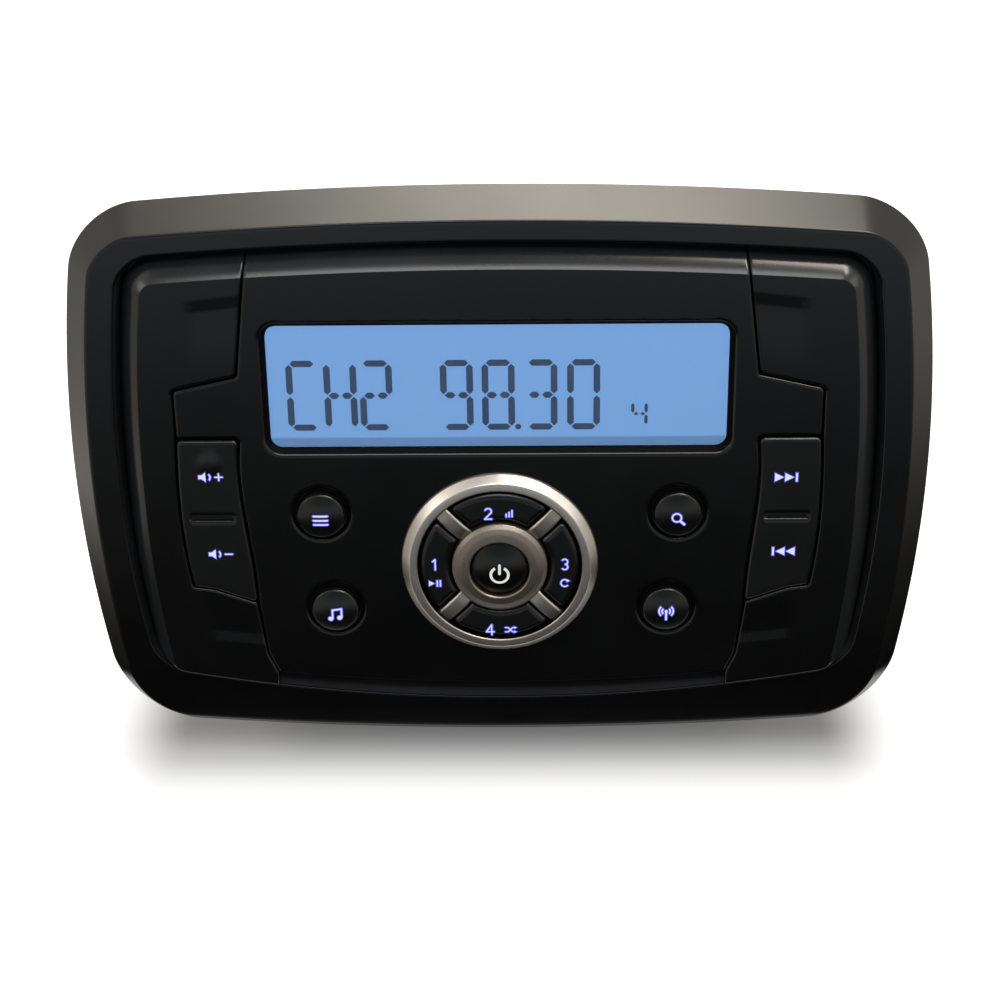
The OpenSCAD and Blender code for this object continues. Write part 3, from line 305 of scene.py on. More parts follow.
class DisplaySizes(bpy.types.PropertyGroup):
    """Sizes of the display opening and its readout."""
    width: length("Width", 93, "Width of the display opening")
    height: length("Height", 26.6, "Height of the display opening")
    centre_z: length(
        "Centre height", (WINDOW_LOW.z + WINDOW_HIGH.z) / 2 / MM, "Height of the display's centre")
    corner: length("Corner", 2.6, "Radius of the opening's corners")
    chamfer: length("Chamfer", 1.1, "Chamfer round the opening")
    window_h: length("Window front", -WINDOW_LOW.y / MM, "Height of the window's front over the panel")
    window_t: length("Window thickness", 1.2, "Thickness of the clear window")
    window_lip: length("Window lip", 1.6, "Width of the window's flange behind the fascia")
    window_gap: length("Window gap", 0.25, "Gap between the window and its opening")
    lip_t: length("Window lip thickness", 0.55, "Thickness of that flange")
    window_edge: length("Window edge", 0.15, "Chamfer round the window's front")
    glass_lip: length("Glass lip", 0.8, "How far the glass reaches behind the fascia")
    digit_x: length("Digit width", 5.3, "Width of the readout's characters")
    digit_z: length("Digit height", 13.9, "Height of the readout's characters")
    digit_stroke: length("Digit stroke", 1.35, "Width of the readout's segments")
    digit_drop: length("Digit drop", 2.35, "How far the readout lies below the display's centre")
    small_place: length("Small digit place", 27.3, "Left edge of the small preset digit")
    small_lift: length("Small digit lift", 0.2, "Height of the small digit's foot over the others")
    small_x: length("Small digit width", 2.7, "Width of the small digit")
    small_z: length("Small digit height", 5, "Height of the small digit")
    small_stroke: length("Small digit stroke", 0.66, "Width of the small digit's segments")
    point_x: length("Point place", 4.1, "Place of the readout's point across")
    point_r: length("Point radius", 0.62, "Radius of the readout's point")
    segment_t: length("Segment rise", 0.05, "How far the segments stand out of the glass")
    glass_h: length("Glass front", -GLASS_LOW.y / MM, "Height of the liquid crystal glass over the panel")
    glass_back: length("Glass back", -GLASS_HIGH.y / MM, "Height of the back of that glass")


class LegendSizes(bpy.types.PropertyGroup):
    """Places and sizes of the lit legends."""
    up_z: length("Volume up", 9.4, "Height of the volume up sign over the rocker's pivot")
    down_z: length("Volume down", 8.2, "How far the volume down sign lies below the pivot")
    next_z: length("Skip next", 8.8, "Height of the sign for the next track over the pivot")
    back_z: length("Skip back", 8, "How far the sign for the last track lies below the pivot")
    lower_in: length("Lower signs in", 0.9, "How far the rockers' lower signs lie towards the middle")
    key_drop: length("Key sign drop", 0.6, "How far the round keys' signs lie below their centres")
    power_drop: length("Power sign drop", 0.9, "How far the power sign lies below the hub's centre")
    number_up: length("Side number rise", 0.45, "Height of the numbers 1 and 3 over their keys' middles")
    sign_down: length("Side sign drop", 3.9, "How far the signs on these keys lie below their middles")
    number_left: length("Number to the left", 2.2, "How far left the numbers 2 and 4 lie on their keys")
    sign_right: length("Sign to the right", 2.1, "How far right the signs on these keys lie")
    row_down: length("Row drop", 1.4, "How far both lie below these keys' middles")
    glow: length("Glow", 0.13, "How far the glowing edge reaches past a sign's strokes")
    core: length("Core", 0.04, "How far the pale middle stays inside the strokes")
    glow_rise: length("Glow rise", 0.02, "Height of the glowing edge over the key")
    core_rise: length("Core rise", 0.035, "Height of the pale middle over the key")
    depth: length("Depth", 0.15, "How far a legend reaches into its key")


class Finishes(bpy.types.PropertyGroup):
    """Colours of the finishes, in linear light."""
    bezel: tint("Bezel", (0.0017, 0.0018, 0.0021), "Satin black of the bezel")
    fascia: tint("Fascia", (0.0014, 0.0015, 0.0017), "Matt black of the fascia, covers and keys")
    silver: tint("Trim silver", (0.56, 0.525, 0.48), "Satin champagne silver of the trim ring's slope")
    # The spokes' colour is a darker copy of the trim's silver for the ring's flat and the spokes: painted
    # shade.
    spokes: tint("Spoke silver", (0.31, 0.287, 0.258), "Duller silver of the trim ring's flat and its spokes")
    hub: tint("Hub silver", (0.185, 0.162, 0.142), "Darker silver of the hub ring")
    display: tint("Display", (0.171, 0.352, 0.679), "Lit blue of the display")
    segment: tint("Segments", (0.016, 0.041, 0.095), "Dark segments of the readout")
    glow: tint("Legend glow", (0.1, 0.09, 0.72), "Blue edge of the lit legends")
    core: tint("Legend core", (0.72, 0.74, 1.0), "Pale middle of the lit legends")
    power: tint("Power sign", (0.72, 0.72, 0.7), "White of the power key's sign")


class StageSizes(bpy.types.PropertyGroup):
    """The plinth, the backdrop, the lamps and the camera."""
    elevation: angle("Elevation", 25, "Camera angle above the horizon")
    roll: angle("Roll", -0.85, "Camera roll")
    azimuth: angle("Azimuth", 1.4, "Camera angle round the object")
    camera_distance: length("Camera distance", 430, "Distance from the camera to the point it looks at")
    aim_z: length("Aim height", -6.6, "Height of the point the camera looks at")
    focal_px: number("Focal length", 2044, "Focal length in pixels of a 1000 pixel wide image")
    plinth_x: length("Plinth half width", 97, "Half width of the white plinth under the object")
    plinth_front: length("Plinth front", 25.5, "How far the plinth reaches in front of the panel")
    plinth_back: length("Plinth back", 45, "How far the plinth reaches behind the panel")
    plinth_drop: length("Plinth drop", 6, "Gap between the object and the plinth")
    # Painted shadow: the plinth's glow rises from plinth_glow under the object to white at its edges over the
    # two shadow runs, and it gives back little of the lamps' light, so the lamps' real shadow is faint.
    plinth_glow: number("Plinth glow", 0.125, "Glow of the plinth under the object, where 1 is white")
    plinth_grey: number("Plinth grey", 0.09, "Share of the lamps' light that the plinth gives back")
    shadow_side: length("Shadow at the sides", 22, "Run over which the plinth turns white at its sides")
    shadow_front: length("Shadow in front", 38, "Run over which the plinth turns white at its front")
    shadow_margin: length("Shadow margin", 4.5, "White margin at the plinth's sides")
    backdrop_white: number("Backdrop white", 0.94, "Share of the lamps' light that the backdrop gives back")
    backdrop_y: length("Backdrop distance", 1000, "Distance of the white backdrop behind the panel")
    backdrop_x: length("Backdrop half width", 480, "Half width of the backdrop")
    backdrop_low: length("Backdrop bottom", -1020, "Height of the backdrop's lower edge")
    backdrop_top: length("Backdrop top", 0, "Height of the backdrop's upper edge")
    top_light: number("Top light", 8.4, "Power of the softbox overhead, in watts")
    front_light: number("Front light", 1.6, "Power of the softbox in front, in watts")
    left_light: number("Left light", 0.4, "Power of the softbox at the left, in watts")
    right_light: number("Right light", 0.3, "Power of the softbox at the right, in watts")
    room: number("Room", 2.0, "Strength of the room's light")
    room_front: tint("Room in front", (0.9, 0.94, 1.0), "Cool light of the room in front")
    room_left: tint("Room at the left", (1.0, 0.95, 0.87), "Warm light of the room at the left")
    lamp: tint("Lamp", (1.0, 0.94, 0.81), "Warm light of the softbox overhead")


def in_mm(group):
    """The lengths of a property group in millimetres, as plain attributes."""
    return SimpleNamespace(**{name: getattr(group, name) / MM for name in type(group).__annotations__})


# Surfaces are worked out in a face frame in millimetres: right, up, and forward from the panel.

def row(points):
    """Face frame to row frame: right stays x, up becomes z, forward becomes minus y, in metres."""
    return np.stack([points[:, 0], -points[:, 2], points[:, 1]], axis=1) * MM


def arc(centre, radius, start, end, steps):
    """Points centre + radius * (cos a, sin a) for the angle a from start to end, in degrees."""
    a = np.radians(np.linspace(start, end, steps + 1))
    return np.asarray(centre) + radius * np.stack([np.cos(a), np.sin(a)], axis=1)


def circle(centre, radius, steps=64):
    """A closed circle without a doubled last point."""
    return arc(centre, radius, 0, 360, steps)[:-1]


def line(start, end, steps):
    """Evenly spaced points from start up to, but without, end."""
    t = np.arange(steps)[:, None] / steps
    return np.asarray(start) + (np.asarray(end) - np.asarray(start)) * t


def round_box(x, top, low, r, top_r, corner_steps=20, side_steps=44):
    """A rounded rectangle with its own upper corner radius, anticlockwise from its right side's foot.

    Each side is followed by the corner it runs into: a quarter circle about that corner's centre.
    """
    sides = [((x, low + r), (x - top_r, top - top_r), top_r, 0),
             ((x - top_r, top), (top_r - x, top - top_r), top_r, 90),
             ((-x, top - top_r), (r - x, low + r), r, 180),
             ((r - x, low), (x - r, low + r), r, 270)]
    parts = []
    for start, centre, turn_r, a in sides:
        turn = arc(centre, turn_r, a, a + 90, corner_steps)
        parts += [line(start, turn[0], side_steps), turn[:-1]]
    return np.concatenate(parts)


def bowed(x, top, low, r, top_r, b, bow_low):
    """A rounded rectangle with bowed sides: points move in by their offset squared over twice the bow."""
    p = round_box(x, top, low, r, top_r)
    bow = np.where(p[:, 1] > 0, b.top_bow * top, -bow_low * low)
    return np.stack([
        p[:, 0] * (1 - (p[:, 1] - b.side_mid) ** 2 / (2 * b.side_bow * x)),
        p[:, 1] * (1 - p[:, 0] ** 2 / (2 * bow))], axis=1)


def bezel_outline(b, inset):
    """The bezel's outline, drawn in by an inset."""
    x, z = b.width / 2 - inset, b.height / 2 - inset
    return bowed(x, z, -z, b.corner - inset, b.top_corner - inset, b, b.top_bow)


def recess_outline(b, h, inset):
    """The recess at a height: towards the flange its sides draft in and its lower edge follows the ledge."""
    depth = max(1 - (h - b.flange) / (b.ring_h - b.flange), 0)
    side = inset + b.draft * depth
    x = b.width / 2 - b.rim_inset - b.ring_side - side
    top = b.height / 2 - b.rim_inset - b.ring_top - side
    low = b.rim_inset + b.ring_bottom - b.height / 2 + inset + b.ledge * depth
    r = max(b.mouth_r - side, LEAST_CORNER)
    return bowed(x, top, low, r, r, b, b.low_bow)


def rounded(corners, steps=6):
    """A closed outline through (x, z, radius) corners, each turned on an arc tangent to both its sides."""
    c = np.asarray(corners, float)
    before = np.roll(c, 1, axis=0)[:, :2] - c[:, :2]
    after = np.roll(c, -1, axis=0)[:, :2] - c[:, :2]
    before /= np.linalg.norm(before, axis=1)[:, None]
    after /= np.linalg.norm(after, axis=1)[:, None]
    half = np.arccos(np.clip((before * after).sum(axis=1), -1, 1)) / 2
    reach = c[:, 2] / np.tan(half)
    t = np.linspace(-1, 1, steps + 1)[None, :, None]
    start = c[:, None, :2] + before[:, None] * reach[:, None, None]
    end = c[:, None, :2] + after[:, None] * reach[:, None, None]
    middle = (before + after) / np.maximum(np.linalg.norm(before + after, axis=1), 1e-9)[:, None]
    centre = c[:, :2] + middle * (c[:, 2] / np.sin(half))[:, None]
    chord = (start + end) / 2 + (end - start) / 2 * t
    spoke = chord - centre[:, None]
    spoke /= np.maximum(np.linalg.norm(spoke, axis=2), 1e-9)[:, :, None]
    outline = (centre[:, None] + spoke * c[:, 2][:, None, None]).reshape(-1, 2)
    return outline[np.linalg.norm(outline - np.roll(outline, 1, axis=0), axis=1) > 1e-6]


def sharp(points):
    """Flat points as corners without a radius."""
    return np.column_stack([points, np.zeros(len(points))])


def spread(outline, step):
    """The same closed outline with each side cut into equal parts no longer than step."""
    nxt = np.roll(outline, -1, axis=0)
    reach = np.linalg.norm(nxt - outline, axis=1)
    n = np.maximum(np.ceil(reach / step), 1).astype(int)
    side = np.repeat(np.arange(len(outline)), n)
    part = (np.arange(n.sum()) - np.repeat(np.cumsum(n) - n, n)) / np.repeat(n, n)
    return outline[side] + (nxt - outline)[side] * part[:, None]


def dot_grid(across, up):
    """The points of a grid, row by row."""
    return np.stack(np.meshgrid(across, up), axis=-1).reshape(-1, 2)


def inset(outline, distance):
    """A closed anticlockwise outline moved inwards: each point goes along the mitre of its two sides."""
    ahead = np.roll(outline, -1, axis=0) - outline
    ahead /= np.maximum(np.linalg.norm(ahead, axis=1), 1e-9)[:, None]
    normal = np.stack([-ahead[:, 1], ahead[:, 0]], axis=1)
    back = np.roll(normal, 1, axis=0)
    share = np.maximum(1 + (normal * back).sum(axis=1), 0.5)
    return outline + (normal + back) / share[:, None] * distance


def distance(points, outline):
    """Least distance from each point to the sides of a closed outline, a block of sides at a time."""
    ahead = np.roll(outline, -1, axis=0) - outline
    square = np.maximum((ahead ** 2).sum(axis=1), 1e-12)
    best = np.full(len(points), np.inf)
    blocks = max(1, len(outline) * len(points) // BLOCK)
    for block in np.array_split(np.arange(len(outline)), blocks):
        off = points[:, None] - outline[None, block]
        t = np.clip((off * ahead[None, block]).sum(axis=2) / square[None, block], 0, 1)
        near = np.linalg.norm(off - ahead[None, block] * t[:, :, None], axis=2)
        best = np.minimum(best, near.min(axis=1))
    return best


def inside(points, outlines):
    """True where a point lies inside an odd number of the outlines."""
    odd = np.zeros(len(points), bool)
    for outline in outlines:
        a, b = outline, np.roll(outline, -1, axis=0)
        spans = (a[None, :, 1] > points[:, None, 1]) != (b[None, :, 1] > points[:, None, 1])
        run = np.where(b[:, 1] == a[:, 1], 1e-9, b[:, 1] - a[:, 1])
        cross = a[None, :, 0] + (points[:, None, 1] - a[None, :, 1]) * ((b - a)[:, 0] / run)[None]
        odd ^= (np.sum(spans & (points[:, None, 0] < cross), axis=1) % 2).astype(bool)
    return odd


def fill(outlines, guides=(), dots=(), keep=None):
    """Triangles that fill the space inside closed outlines, along closed guide lines and through dots.

    The first outline bounds the sheet and the others are holes in it, unless keep chooses the triangles
    by their middles.
    """
    rings = list(outlines) + list(guides)
    starts = np.cumsum([0] + [len(r) for r in rings])
    edges = []
    for ring, start in zip(rings, starts):
        own = np.arange(len(ring))
        edges.append(np.stack([own, (own + 1) % len(ring)], axis=1) + start)
    coords = np.concatenate(rings + ([np.asarray(dots)] if len(dots) else []))
    found = geometry.delaunay_2d_cdt(coords.tolist(), np.concatenate(edges).tolist(), [], 0, 1e-6)
    flat = np.array(found[0])
    tris = np.array(found[2])
    mids = flat[tris].mean(axis=1)
    tris = tris[inside(mids, outlines) if keep is None else keep(mids)]
    used, renamed = np.unique(tris, return_inverse=True)
    return flat[used], renamed.reshape(tris.shape)


def rim_edges(tris):
    """The directed edges that only one triangle has."""
    edges = np.concatenate([tris[:, [0, 1]], tris[:, [1, 2]], tris[:, [2, 0]]])
    key = np.sort(edges, axis=1)
    _, first, count = np.unique(key, axis=0, return_index=True, return_counts=True)
    return edges[first[count == 1]]


class Skin:
    """Gathers sheets of faces in the face frame and joins them into one closed mesh."""

    def __init__(self):
        self.points, self.faces, self.paint, self.count = [], [], [], 0

    def add(self, points, faces, paint=0):
        """Adds points, and faces that number them from 0; paint gives the number of their material."""
        self.points.append(np.asarray(points, float))
        self.faces += (np.asarray(faces) + self.count).tolist()
        self.paint += np.broadcast_to(paint, len(faces)).tolist()
        self.count += len(points)
        return self

    def strip(self, rings, paint=0):
        """Adds quads between each closed ring and the next; the rings have equal numbers of points."""
        rings = np.asarray(rings, float)
        grid = np.arange(rings.shape[0] * rings.shape[1]).reshape(rings.shape[:2])
        grid = np.concatenate([grid, grid[:, :1]], axis=1)
        quads = np.stack([grid[:-1, :-1], grid[:-1, 1:], grid[1:, 1:], grid[1:, :-1]], axis=-1)
        return self.add(rings.reshape(-1, 3), quads.reshape(-1, 4), paint)

    def cap(self, outlines, h):
        """Adds a flat sheet at a height, with the first outline round it and the others as holes."""
        flat, tris = fill(outlines)
        return self.add(lift(flat, h), tris)

    def block(self, flat, tris, top, low, foot=None, marked=None):
        """Adds a closed block over a sheet: top and low give its heights, and foot moves the low face.

        Marked gives the number of each face's material by the face's middle.
        """
        n = len(flat)
        rim = rim_edges(tris)
        walls = np.concatenate([
            np.stack([rim[:, 0], rim[:, 0] + n, rim[:, 1] + n], axis=1),
            np.stack([rim[:, 0], rim[:, 1] + n, rim[:, 1]], axis=1)])
        faces = np.concatenate([tris, tris[:, ::-1] + n, walls])
        paint = 0 if marked is None else marked(np.concatenate([flat, flat])[faces].mean(axis=1))
        under = lift(flat if foot is None else foot, low)
        return self.add(np.concatenate([lift(flat, top), under]), faces, paint)

    def piece(self, name, material, body, nodes=(), slot=None, sharp=40, mirror=False):
        """Makes the mesh object: merges doubles, points faces outwards, and lets it ride on a body."""
        points = np.concatenate(self.points)
        if mirror:
            points = points * (-1, 1, 1)
        mesh = bpy.data.meshes.new(name)
        mesh.from_pydata(row(points).tolist(), [], self.faces)
        mesh.polygons.foreach_set("material_index", self.paint)
        work = bmesh.new()
        work.from_mesh(mesh)
        bmesh.ops.remove_doubles(work, verts=work.verts, dist=1e-7)
        bmesh.ops.dissolve_degenerate(work, edges=work.edges, dist=1e-8)
        bmesh.ops.recalc_face_normals(work, faces=work.faces)
        work.to_mesh(mesh)
        work.free()
        mesh.shade_smooth()
        mesh.set_sharp_from_angle(angle=math.radians(sharp))
        obj = bpy.data.objects.new(name, mesh)
        bpy.context.scene.collection.objects.link(obj)
        for finish in material if isinstance(material, list) else [material]:
            mesh.materials.append(finish)
        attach(obj, body)
        if nodes:
            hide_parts(*nodes)


def lift(flat, h):
    """Flat points raised to a height, or each to its own."""
    return np.column_stack([flat, np.broadcast_to(h, len(flat))])


def revolve(skin, centre, profile, steps, paint=0):
    """Adds a profile of (radius, height) points turned about centre: radius * (cos a, sin a), height."""
    a = np.radians(np.arange(steps) * 360 / steps)
    profile = np.asarray(profile, float)
    rings = np.stack([
        centre[0] + profile[:, None, 0] * np.cos(a),
        centre[1] + profile[:, None, 0] * np.sin(a),
        np.broadcast_to(profile[:, None, 1], (len(profile), steps))], axis=-1)
    return skin.strip(rings, paint=paint)


def round_drop(d, r):
    """How far a rounded edge of radius r has fallen at a distance d in from its side."""
    return r - np.sqrt(np.maximum(r * r - (r - np.clip(d, 0, r)) ** 2, 0))


def round_steps(r, steps):
    """Distances in from the side at which even angles of a rounded edge lie."""
    return r * (1 - np.cos(np.radians(np.linspace(0, 90, steps + 1))))


def ease(t):
    """A smooth step from 0 to 1."""
    t = np.clip(t, 0, 1)
    return t * t * (3 - 2 * t)


class Nodes:
    """Builds the node tree of a material or of the world with short calls."""

    def __init__(self, owner, place="Object"):
        owner.use_nodes = True
        self.material = owner
        self.tree = owner.node_tree
        self.shader = self.tree.nodes.get("Principled BSDF")
        self.place = self.tree.nodes.new("ShaderNodeTexCoord").outputs[place]

    @classmethod
    def new(cls, name):
        """Starts a new material."""
        return cls(bpy.data.materials.new(name))

    def link(self, out, socket):
        """Joins an output to an input socket."""
        self.tree.links.new(out, socket)

    def set(self, **values):
        """Sets constant values on the shader's own sockets; a name's underscores stand for spaces."""
        for name, value in values.items():
            socket = self.shader.inputs[name.replace("_", " ")]
            socket.default_value = (*value, 1) if isinstance(value, tuple) else value
        return self

    def noise(self, scale, detail, rough):
        """A noise pattern on object coordinates, about 1/scale metres across."""
        node = self.tree.nodes.new("ShaderNodeTexNoise")
        node.inputs["Scale"].default_value = scale
        node.inputs["Detail"].default_value = detail
        node.inputs["Roughness"].default_value = rough
        self.link(self.place, node.inputs["Vector"])
        return node.outputs["Fac"]

    def ramp(self, fac, *stops):
        """A colour ramp through (position, colour) stops."""
        node = self.tree.nodes.new("ShaderNodeValToRGB")
        elements = node.color_ramp.elements
        elements[0].position = stops[0][0]
        elements[1].position = stops[-1][0]
        for at, _ in stops[1:-1]:
            elements.new(at)
        for element, (_, colour) in zip(elements, stops):
            element.color = (*colour, 1)
        self.link(fac, node.inputs["Fac"])
        return node.outputs["Color"]

    def spread(self, fac, low, high, start=0.0, end=1.0, smooth=False):
        """A pattern from start to end carried to a range of values, and held at its ends."""
        node = self.tree.nodes.new("ShaderNodeMapRange")
        node.interpolation_type = "SMOOTHSTEP" if smooth else "LINEAR"
        for name, value in zip(("From Min", "From Max", "To Min", "To Max"), (start, end, low, high)):
            node.inputs[name].default_value = value
        self.link(fac, node.inputs["Value"])
        return node.outputs["Result"]

    def axes(self):
        """The three parts of the place."""
        node = self.tree.nodes.new("ShaderNodeSeparateXYZ")
        self.link(self.place, node.inputs["Vector"])
        return node.outputs

    def math(self, operation, *values):
        """A sum or other step of outputs and plain numbers."""
        node = self.tree.nodes.new("ShaderNodeMath")
        node.operation = operation
        for value, socket in zip(values, node.inputs):
            if isinstance(value, (int, float)):
                socket.default_value = value
            else:
                self.link(value, socket)
        return node.outputs["Value"]

    def mix(self, share, first, second):
        """A blend of two colours: the first at share 0 and the second at share 1."""
        node = self.tree.nodes.new("ShaderNodeMixRGB")
        for out, name in ((share, "Fac"), (first, "Color1"), (second, "Color2")):
            self.link(out, node.inputs[name])
        return node.outputs["Color"]

    def background_rays(self):
        """1 for rays that show the background: those of the camera, of reflections and through the window."""
        path = self.tree.nodes.new("ShaderNodeLightPath").outputs
        return self.math("MAXIMUM", path["Is Camera Ray"],
                         self.math("MAXIMUM", path["Is Glossy Ray"], path["Is Transmission Ray"]))

    def bump(self, height, depth):
        """Bump from a pattern whose full height is depth metres."""
        node = self.tree.nodes.new("ShaderNodeBump")
        node.inputs["Distance"].default_value = depth
        self.link(height, node.inputs["Height"])
        self.link(node.outputs["Normal"], self.shader.inputs["Normal"])
        return self


def shade(colour, factor):
    """A colour made lighter or darker by a factor."""
    return tuple(min(1.0, c * factor) for c in colour)


def moulded(name, colour, rough, grain=FACE_GRAIN, depth=FINE_GRAIN, specular=0.5, dim_below=None):
    """Moulded plastic: spark-eroded grain in the bump, and faint cloudiness in colour and gloss.

    The grain is a scale per metre and a depth in metres. Below the height in the last argument the gloss
    fades
    to a third: shade painted into the gloss, so that the lower part reflects less and looks darker.
    """
    n = Nodes.new(name).set(Specular_IOR_Level=specular)
    fine = n.noise(grain, 2, 0.55)
    cloud = n.noise(60, 3, 0.6)
    tones = n.ramp(cloud, (0.3, shade(colour, 0.86)), (0.7, shade(colour, 1.16)))
    n.link(tones, n.shader.inputs["Base Color"])
    n.link(n.spread(cloud, rough - 0.03, rough + 0.04), n.shader.inputs["Roughness"])
    # Painted shade: below the given height the gloss fades, so the lower part reflects less and looks darker.
    if dim_below is not None:
        gloss = n.spread(n.axes()["Z"], specular / 3, specular, dim_below - DIM_FADE, dim_below)
        n.link(gloss, n.shader.inputs["Specular IOR Level"])
    return n.bump(fine, depth).material


def satin_metal(name, colour, rough):
    """Satin-painted metal: fine flake in the colour and a soft, slightly uneven gloss."""
    n = Nodes.new(name).set(Metallic=1.0)
    flake = n.noise(9000, 1, 0.5)
    cloud = n.noise(120, 3, 0.6)
    tones = n.ramp(flake, (0.35, shade(colour, 0.9)), (0.65, shade(colour, 1.08)))
    n.link(tones, n.shader.inputs["Base Color"])
    n.link(n.spread(cloud, rough - 0.03, rough + 0.05), n.shader.inputs["Roughness"])
    return n.bump(flake, FINE_GRAIN).material


def lit(name, colour):
    """A lit, frosted surface: its emission wavers faintly over a dark base."""
    n = Nodes.new(name).set(Base_Color=(0.02, 0.02, 0.025), Roughness=0.5, Emission_Strength=1.0)
    cloud = n.noise(900, 2, 0.5)
    tones = n.ramp(cloud, (0.3, shade(colour, 0.94)), (0.7, shade(colour, 1.05)))
    n.link(tones, n.shader.inputs["Emission Color"])
    return n.material


def lit_display(d, look):
    """The lit glass: blue, with a deeper blue band of painted shade along its lower edge."""
    n = Nodes.new("lcd_glass").set(Base_Color=(0.02, 0.03, 0.05), Roughness=0.4, Emission_Strength=0.96)
    low, high = (d.centre_z - d.height / 2) * MM, (d.centre_z + d.height / 2) * MM
    height = n.spread(n.axes()["Z"], 0, 1, low, high)
    blue = look.display
    # Painted shade: the lowest strip of the glass glows a darker blue.
    colour = n.ramp(height, (0.055, shade(blue, 0.6)), (0.075, shade(blue, 0.97)), (1.0, blue))
    n.link(colour, n.shader.inputs["Emission Color"])
    return n.material


def clear_window():
    """The clear acrylic window, with a trace of polish marks in its gloss."""
    n = Nodes.new("window_acrylic").set(Base_Color=(0.97, 0.985, 1.0), Transmission_Weight=1.0, IOR=1.1)
    marks = n.noise(400, 3, 0.6)
    n.link(n.spread(marks, 0.02, 0.05), n.shader.inputs["Roughness"])
    return n.material


def bezel_skin(b):
    """The bezel as one closed skin.

    Bowed outlines stacked by height make the rear hollow, the sloped rim, the flat ring and the recess wall,
    with quarter circles at the edges. Flat sheets close the recess floor and the rear, with the gasket's
    channel and the screw holes cut through. The rim has the second material and the recess the third: a
    lighter copy of the bezel's black that paints light into the groove.
    """
    e, top = b.soft_edge, b.ring_h
    turn = np.radians(np.linspace(0, 90, 5))
    edge = [(e * (1 - math.sin(a)), e * (1 - math.cos(a))) for a in turn]
    slope = math.atan2(b.rim_inset, top)
    crest = [(b.rim_inset - d * math.sin(slope), top - d * math.cos(slope)) for d in (e, e / 3)]
    crest += [(b.rim_inset + e / 3, top - e / 12), (b.rim_inset + e, top)]
    hollow = recess_outline(b, top, -b.rim_wall)
    stack = [(hollow, 0), (hollow, top - b.rim_wall),
             (bezel_outline(b, b.rim_inset + b.rim_slope), top - b.rim_wall),
             (bezel_outline(b, b.rim_wall + b.rim_slope), 0)]
    stack += [(bezel_outline(b, run), h) for run, h in edge + crest]
    stack += [(bezel_outline(b, b.rim_inset + 2 * e), top), (recess_outline(b, top, -2 * e), top)]
    stack += [(recess_outline(b, top, -run), top - fall) for run, fall in edge]
    stack += [(recess_outline(b, h, 0), h) for h in np.linspace(top - e, b.flange, 5)[1:]]
    skin = Skin()
    rise, mouth = len(turn) + 3, 3 * len(turn) + 4
    cuts = (0, rise, rise + 3, mouth, len(stack) - 1)
    for start, end, paint in zip(cuts, cuts[1:], (0, 1, 0, 2)):
        skin.strip([lift(outline, h) for outline, h in stack[start:end + 1]], paint)
    holes = [circle((sx * b.screw_x, sz * b.screw_z), b.screw_r, 40) for sx in (-1, 1) for sz in (-1, 1)]
    channel = []
    for g in (b.channel_w, 0):
        x, z, r = b.channel_x + g, b.channel_z + g, b.channel_r + g
        channel.append(round_box(x, z, -z, r, r, 10, 8))
    skin.cap([stack[-1][0], *holes], b.flange)
    skin.cap([stack[0][0], *channel, *holes], 0)
    skin.cap(channel, b.channel_t)
    for outline, h in [(c, b.channel_t) for c in channel] + [(c, b.flange) for c in holes]:
        skin.strip([lift(outline, 0), lift(outline, h)])
    return skin


def island_outline(b, f):
    """Outline of the raised island, from the middle of its bottom edge, where its shoulder starts to turn.

    Its lower edge lies along the mouth of the recess, over the ledge.
    """
    outline = recess_outline(b, f.face_h - f.shoulder, f.gap)
    mouth = recess_outline(b, b.ring_h, f.gap)
    outline[:, 1] = np.where(outline[:, 1] < 0, np.minimum(outline[:, 1], mouth[:, 1]), outline[:, 1])
    start = np.argmin(np.where(outline[:, 1] < 0, np.abs(outline[:, 0]), np.inf))
    return np.roll(outline, -start, axis=0)


def rocker_side(f, z, outer):
    """Corners (half width, height, no radius) along a rocker's inner or outer long edge.

    The half width at each height z is a cubic through four points of the edge.
    """
    mid = (f.rocker_top + f.rocker_low_in) / 2
    if outer:
        heights = (f.rocker_top, mid + f.bow_out_z, mid, f.rocker_low_out)
        reach = (f.ear_x, f.ear_x + f.rocker_bow / 3, (f.ear_x + f.rocker_out_low_x) / 2 + f.rocker_bow,
                 f.rocker_out_low_x)
    else:
        heights = (f.rocker_top, mid + f.bow_in_z, mid + f.bow_in_low_z, f.rocker_low_in)
        reach = (f.rocker_in_x, f.rocker_in_x + f.rocker_bow / 2, f.rocker_in_x, f.rocker_in_low_x)
    return sharp(np.column_stack([np.polyval(np.polyfit(heights, reach, 3), z), z]))


def rocker_outline(f):
    """The right rocker's outline: two bowed long edges, a straight top and a bent foot."""
    up = np.linspace(f.rocker_low_out, f.rocker_top, 12)[1:-1]
    down = np.linspace(f.rocker_top, f.rocker_low_in, 14)[1:-1]
    foot = [(f.rocker_in_low_x, f.rocker_low_in, f.rocker_low_r),
            (f.rocker_out_low_x - f.foot_x, f.rocker_low_out - f.foot_z, f.foot_r),
            (f.rocker_out_low_x, f.rocker_low_out, f.rocker_low_r)]
    top = [(f.ear_x, f.rocker_top, f.rocker_top_r), (f.rocker_in_x, f.rocker_top, f.rocker_top_r)]
    return rounded(np.concatenate([foot, rocker_side(f, up, True), top, rocker_side(f, down, False)]))


def seam_z(outline, x, upper):
    """Height of the island's upper or lower edge at a half width."""
    part = outline[(outline[:, 1] > 0) == upper]
    part = part[np.argsort(part[:, 0])]
    return float(np.interp(x, part[:, 0], part[:, 1]))


def upper_seam_x(f, b, z):
    """Half width of the upper seam at a height, on a line from the ear to the bezel's top edge."""
    return f.seam_mid_x + (f.seam_top_x - f.seam_mid_x) * (z - f.seam_mid_z) / (b.height / 2 - f.seam_mid_z)


def bottom_edge(f, x):
    """Height of the fascia's bottom edge across its width: a shallow parabola."""
    return f.bottom_z + (f.seam_low_z - f.bottom_z) * (x / f.seam_low_x) ** 2


